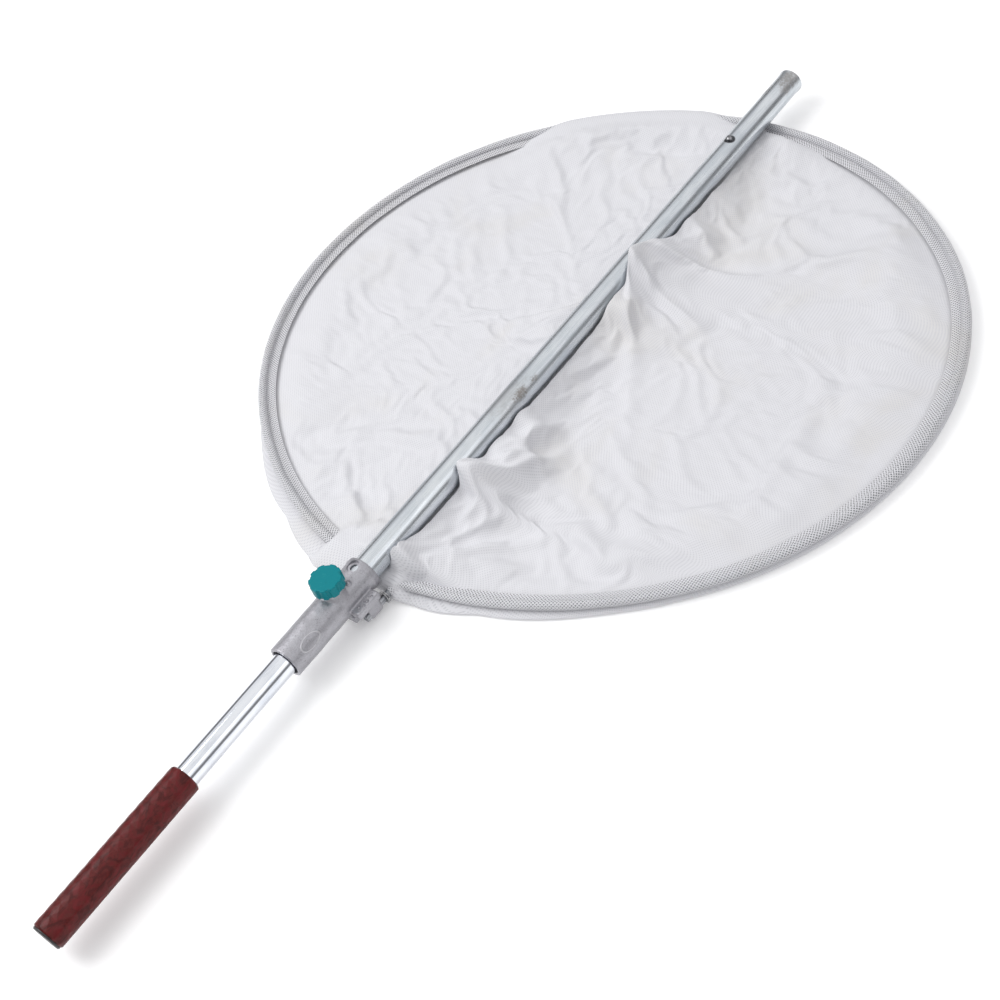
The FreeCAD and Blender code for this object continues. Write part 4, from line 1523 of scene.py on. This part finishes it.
@dataclass
class Hem:
    """The sewn tube of mesh round the rod and the doubled seam inside it."""

    radius: float = 5.3 * MM
    around: int = 14
    pucker: float = 0.5 * MM
    seam_width: float = 10.5 * MM
    seam_points: int = 5
    seam_drop: float = 1.2 * MM
    seam_slope: float = 2.0 * MM
    seam_sway: float = 0.9 * MM
    hoop_middle: tuple[float, float] = (0.196, 0.0)

    def build(self, rim: Rim) -> tuple[bpy.types.Object, bpy.types.Object]:
        """Make the hem and its seam.

        Args:
            rim: the hoop's route.

        Returns:
            The hem and the seam.
        """
        line = rim.rod
        hem = self.sweep("net_hem", line, self.ring, self.around, True)
        seam = self.sweep("net_seam", line, self.strip, self.seam_points, False)
        cloth = NetCloth("hem_fabric_finish", pitch=2.6 * MM, thread=0.40, open_alpha=0.06)
        # The seam's open squares are dark grey and mostly opaque: a painted shadow of the gap
        # under the doubled seam.
        band = NetCloth("seam_fabric_painted_shadow", pitch=2.6 * MM, thread=0.40, open_alpha=0.75,
                        hole_shade_and_yarn_tone=shade(0.22, 0.22, 0.235))
        finish_piece(hem, "head", cloth.make(), ["hem_sleeve"])
        finish_piece(seam, "head", band.make())
        return hem, seam

    def ring(self, station: int, step: int) -> tuple[float, float, float]:
        """Return one point of the hem's section: outward, up and distance round it."""
        angle = math.tau * step / self.around
        wave = noise.noise(Vector((station * 0.09, step * 0.8, 3.0)))
        radius = self.radius + wave * self.pucker
        return radius * math.cos(angle), radius * math.sin(angle), self.radius * angle

    def strip(self, station: int, step: int) -> tuple[float, float, float]:
        """Return one point of the seam's section: outward, up and distance across it."""
        share = step / (self.seam_points - 1)
        sway = noise.noise(Vector((station * 0.05, share * 2, 8.0)))
        out = -self.radius * 0.86 - share * self.seam_width
        up = -self.seam_drop - share * self.seam_slope + sway * self.seam_sway
        return out, up, share * self.seam_width

    def sweep(self, name: str, line: np.ndarray,
              section: Callable[[int, int], tuple[float, float, float]], steps: int,
              closed: bool) -> bpy.types.Object:
        """Sweep a section along the rod's route.

        Args:
            name: the piece's name.
            line: the route's plan places.
            section: the section's point at a station and a step.
            steps: points in one section.
            closed: whether the section's last point joins its first.

        Returns:
            The new piece with cloth coordinates as its UV map.
        """
        count = len(line)
        deselect()
        bpy.ops.mesh.primitive_grid_add(x_subdivisions=count - 1,
                                        y_subdivisions=steps if closed else steps - 1,
                                        size=2.0)
        piece = bpy.context.object
        piece.name = name
        tangent = np.gradient(line, axis=0)
        tangent /= np.hypot(*tangent.T)[:, None]
        middle = np.array(self.hoop_middle)
        side = np.stack([tangent[:, 1], -tangent[:, 0]], axis=1)
        facing = np.sign(np.sum(side * (line - middle), axis=1))
        side *= facing[:, None]
        walk = walk_along(line)
        uv = []
        rows = steps + 1 if closed else steps
        for vertex in piece.data.vertices:
            station = round((vertex.co.x + 1) / 2 * (count - 1))
            step = round((vertex.co.y + 1) / 2 * (rows - 1))
            out, up, across = section(station, step % steps if closed else step)
            if closed and step == steps:
                across = self.radius * math.tau
            place = line[station] + side[station] * out
            vertex.co = (place[0], place[1], stations.hoop_height + up)
            uv.append(on_bias(walk[station], across))
        layer = piece.data.uv_layers.active or piece.data.uv_layers.new(name="cloth")
        for loop in piece.data.loops:
            layer.data[loop.index].uv = uv[loop.vertex_index]
        if closed:
            self.close(piece)
        soften(piece, 60)
        return piece

    def close(self, piece: bpy.types.Object) -> None:
        """Weld the hem's long seam and turn its faces outward."""
        pick(piece)
        bpy.ops.object.mode_set(mode="EDIT")
        bpy.ops.mesh.select_all(action="SELECT")
        bpy.ops.mesh.remove_doubles(threshold=0.01 * MM)
        bpy.ops.mesh.normals_make_consistent(inside=False)
        leave_edit()


@dataclass
class TieWires:
    """Soft wire twisted round each hem where it meets the casting."""

    ring: float = 6.5 * MM
    wire: float = 0.7 * MM
    tail: float = 9.0 * MM
    strand_gap: float = 0.75 * MM
    strand_points: int = 24
    strand_turns: float = 2.5

    def build(self) -> None:
        """Twist a wire round each leg of the hoop."""
        low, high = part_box("tie_wires")
        middle = (low + high) / 2
        offset = high.y - self.ring - self.wire
        parts = []
        for side in (1, -1):
            for turn in (-0.8, 0.8):
                parts.append(self.loop(Vector((middle.x + turn * MM, side * offset,
                                               stations.hoop_height)), turn * 0.09))
            parts += self.twist(Vector((middle.x, side * (offset - 1.0 * MM),
                                        stations.hoop_height + self.ring)), side)
        ties = join(parts, "tie_wires_twisted")
        soften(ties, 60)
        steel = PlainMetal("tie_wire_finish", shade(0.62, 0.62, 0.62),
                           shade(0.40, 0.40, 0.41), 0.3).make()
        finish_piece(ties, "head", steel, ["tie_wires"])

    def loop(self, centre: Vector, lean: float) -> bpy.types.Object:
        """Add one turn of wire round the hem."""
        return add_solid("wire_loop", bpy.ops.mesh.primitive_torus_add, location=centre,
                         rotation=(0, math.pi / 2, lean), major_radius=self.ring,
                         minor_radius=self.wire, major_segments=40, minor_segments=8)

    def twist(self, start: Vector, side: int) -> list[bpy.types.Object]:
        """Add the wire's two ends, wound round each other and bent over."""
        strands = []
        for phase in (0.0, math.pi):
            curve = bpy.data.curves.new("strand", "CURVE")
            curve.dimensions = "3D"
            curve.bevel_depth = self.wire * 0.85
            curve.bevel_resolution = 2
            curve.use_fill_caps = True
            spline = curve.splines.new("POLY")
            spline.points.add(self.strand_points)
            for index, point in enumerate(spline.points):
                share = index / self.strand_points
                angle = phase + share * math.tau * self.strand_turns
                bend = share * share * 3.0 * MM
                place = start + Vector((
                    -share * self.tail * 0.8 + self.strand_gap * math.cos(angle),
                    side * (-bend) + self.strand_gap * math.sin(angle),
                    0.6 * MM + share * 2.5 * MM - bend * 0.5,
                ))
                point.co = (*place, 1)
            strand = bpy.data.objects.new("strand", curve)
            bpy.context.collection.objects.link(strand)
            pick(strand)
            bpy.ops.object.convert(target="MESH")
            strands.append(bpy.context.object)
        return strands


# ---------------------------------------------------------------------------- the studio


@dataclass
class Studio:
    """Pale floor, soft light and the camera."""

    sky_low: Colour = shade(0.75, 0.75, 0.76)
    sky_high: Colour = shade(1.0, 1.0, 1.0)
    sky_bands: tuple[tuple[float, float], ...] = ((0.10, 0.26), (0.42, 0.20), (0.54, 0.88))
    sky_blue: float = 1.03
    sky_strength: float = 1.0
    floor_size: float = 9.0
    floor_gap: float = 0.1 * MM
    camera_place: tuple[float, float, float] = (-46.8, -924.9, 1130.8)
    heading: float = 53.133
    tilt: float = -46.724
    roll: float = -21.337
    lens: float = 54.754

    def build(self) -> None:
        """Set everything up."""
        bpy.context.scene.view_settings.view_transform = "Standard"
        self.lay_floor()
        self.hang_lights()
        self.paint_sky()
        self.aim_camera()

    def lay_floor(self) -> None:
        """Put paper under the object."""
        floor = add_solid("studio_floor", bpy.ops.mesh.primitive_plane_add,
                          size=self.floor_size, location=(0, 0, -self.floor_gap))
        floor.data.materials.append(StudioPaper().make())

    def hang_lights(self) -> None:
        """Hang one large soft light overhead and a weaker one to the side."""
        self.lamp("key", (-0.9, 1.5, 2.3), (0.1, 0, 0), 1.8, 40.0)
        self.lamp("fill", (0.6, -2.4, 2.0), (0.1, 0, 0), 2.0, 6.0)

    def lamp(self, name: str, place: Sequence[float], target: Sequence[float], size: float,
             power: float) -> None:
        """Add one square area light aimed at a place."""
        light = bpy.data.lights.new(name, "AREA")
        light.shape = "SQUARE"
        light.size = size
        light.energy = power
        holder = bpy.data.objects.new(name, light)
        bpy.context.collection.objects.link(holder)
        holder.location = place
        direction = Vector(target) - Vector(place)
        holder.rotation_euler = direction.to_track_quat("-Z", "Y").to_euler()

    def paint_sky(self) -> None:
        """Make the surroundings white above, with a darker band under the horizon."""
        world = bpy.data.worlds.new("studio_sky")
        bpy.context.scene.world = world
        world.use_nodes = True
        tree = world.node_tree
        background = tree.nodes["Background"]
        coordinate = tree.nodes.new("ShaderNodeTexCoord")
        split = tree.nodes.new("ShaderNodeSeparateXYZ")
        ramp = tree.nodes.new("ShaderNodeValToRGB")
        tree.links.new(coordinate.outputs["Generated"], split.inputs[0])
        tree.links.new(split.outputs["Z"], ramp.inputs["Fac"])
        tree.links.new(ramp.outputs["Color"], background.inputs["Color"])
        stops = ramp.color_ramp.elements
        stops[0].position = 0.0
        stops[0].color = self.sky_low
        stops[1].position = 1.0
        stops[1].color = self.sky_high
        for position, value in self.sky_bands:
            stop = stops.new(position)
            stop.color = (value, value, value * self.sky_blue, 1)
        background.inputs["Strength"].default_value = self.sky_strength

    def aim_camera(self) -> None:
        """Stand the camera in its place."""
        camera = bpy.data.cameras.new("camera")
        camera.lens = self.lens
        camera.sensor_width = 36.0
        holder = bpy.data.objects.new("camera", camera)
        bpy.context.collection.objects.link(holder)
        heading, tilt = math.radians(self.heading), math.radians(self.tilt)
        forward = Vector((math.cos(tilt) * math.cos(heading),
                          math.cos(tilt) * math.sin(heading), math.sin(tilt)))
        level = forward.to_track_quat("-Z", "Y").to_matrix()
        turned = level @ Matrix.Rotation(math.radians(self.roll), 3, "Z")
        place = stations.at(*self.camera_place)
        holder.matrix_world = Matrix.Translation(place) @ turned.to_4x4()
        bpy.context.scene.camera = holder


def main() -> None:
    """Build every sub-assembly in order."""
    logging.basicConfig(level=logging.INFO, format="%(name)s: %(message)s")
    Studio().build()
    Pole().dress()
    Grip().build()
    ClampKnob().build()
    HeadCasting().build()
    TieWires().build()
    rim = Rim()
    hem, seam = Hem().build(rim)
    NetBag().build(rim, hem, seam)


if __name__ == "__main__":
    main()
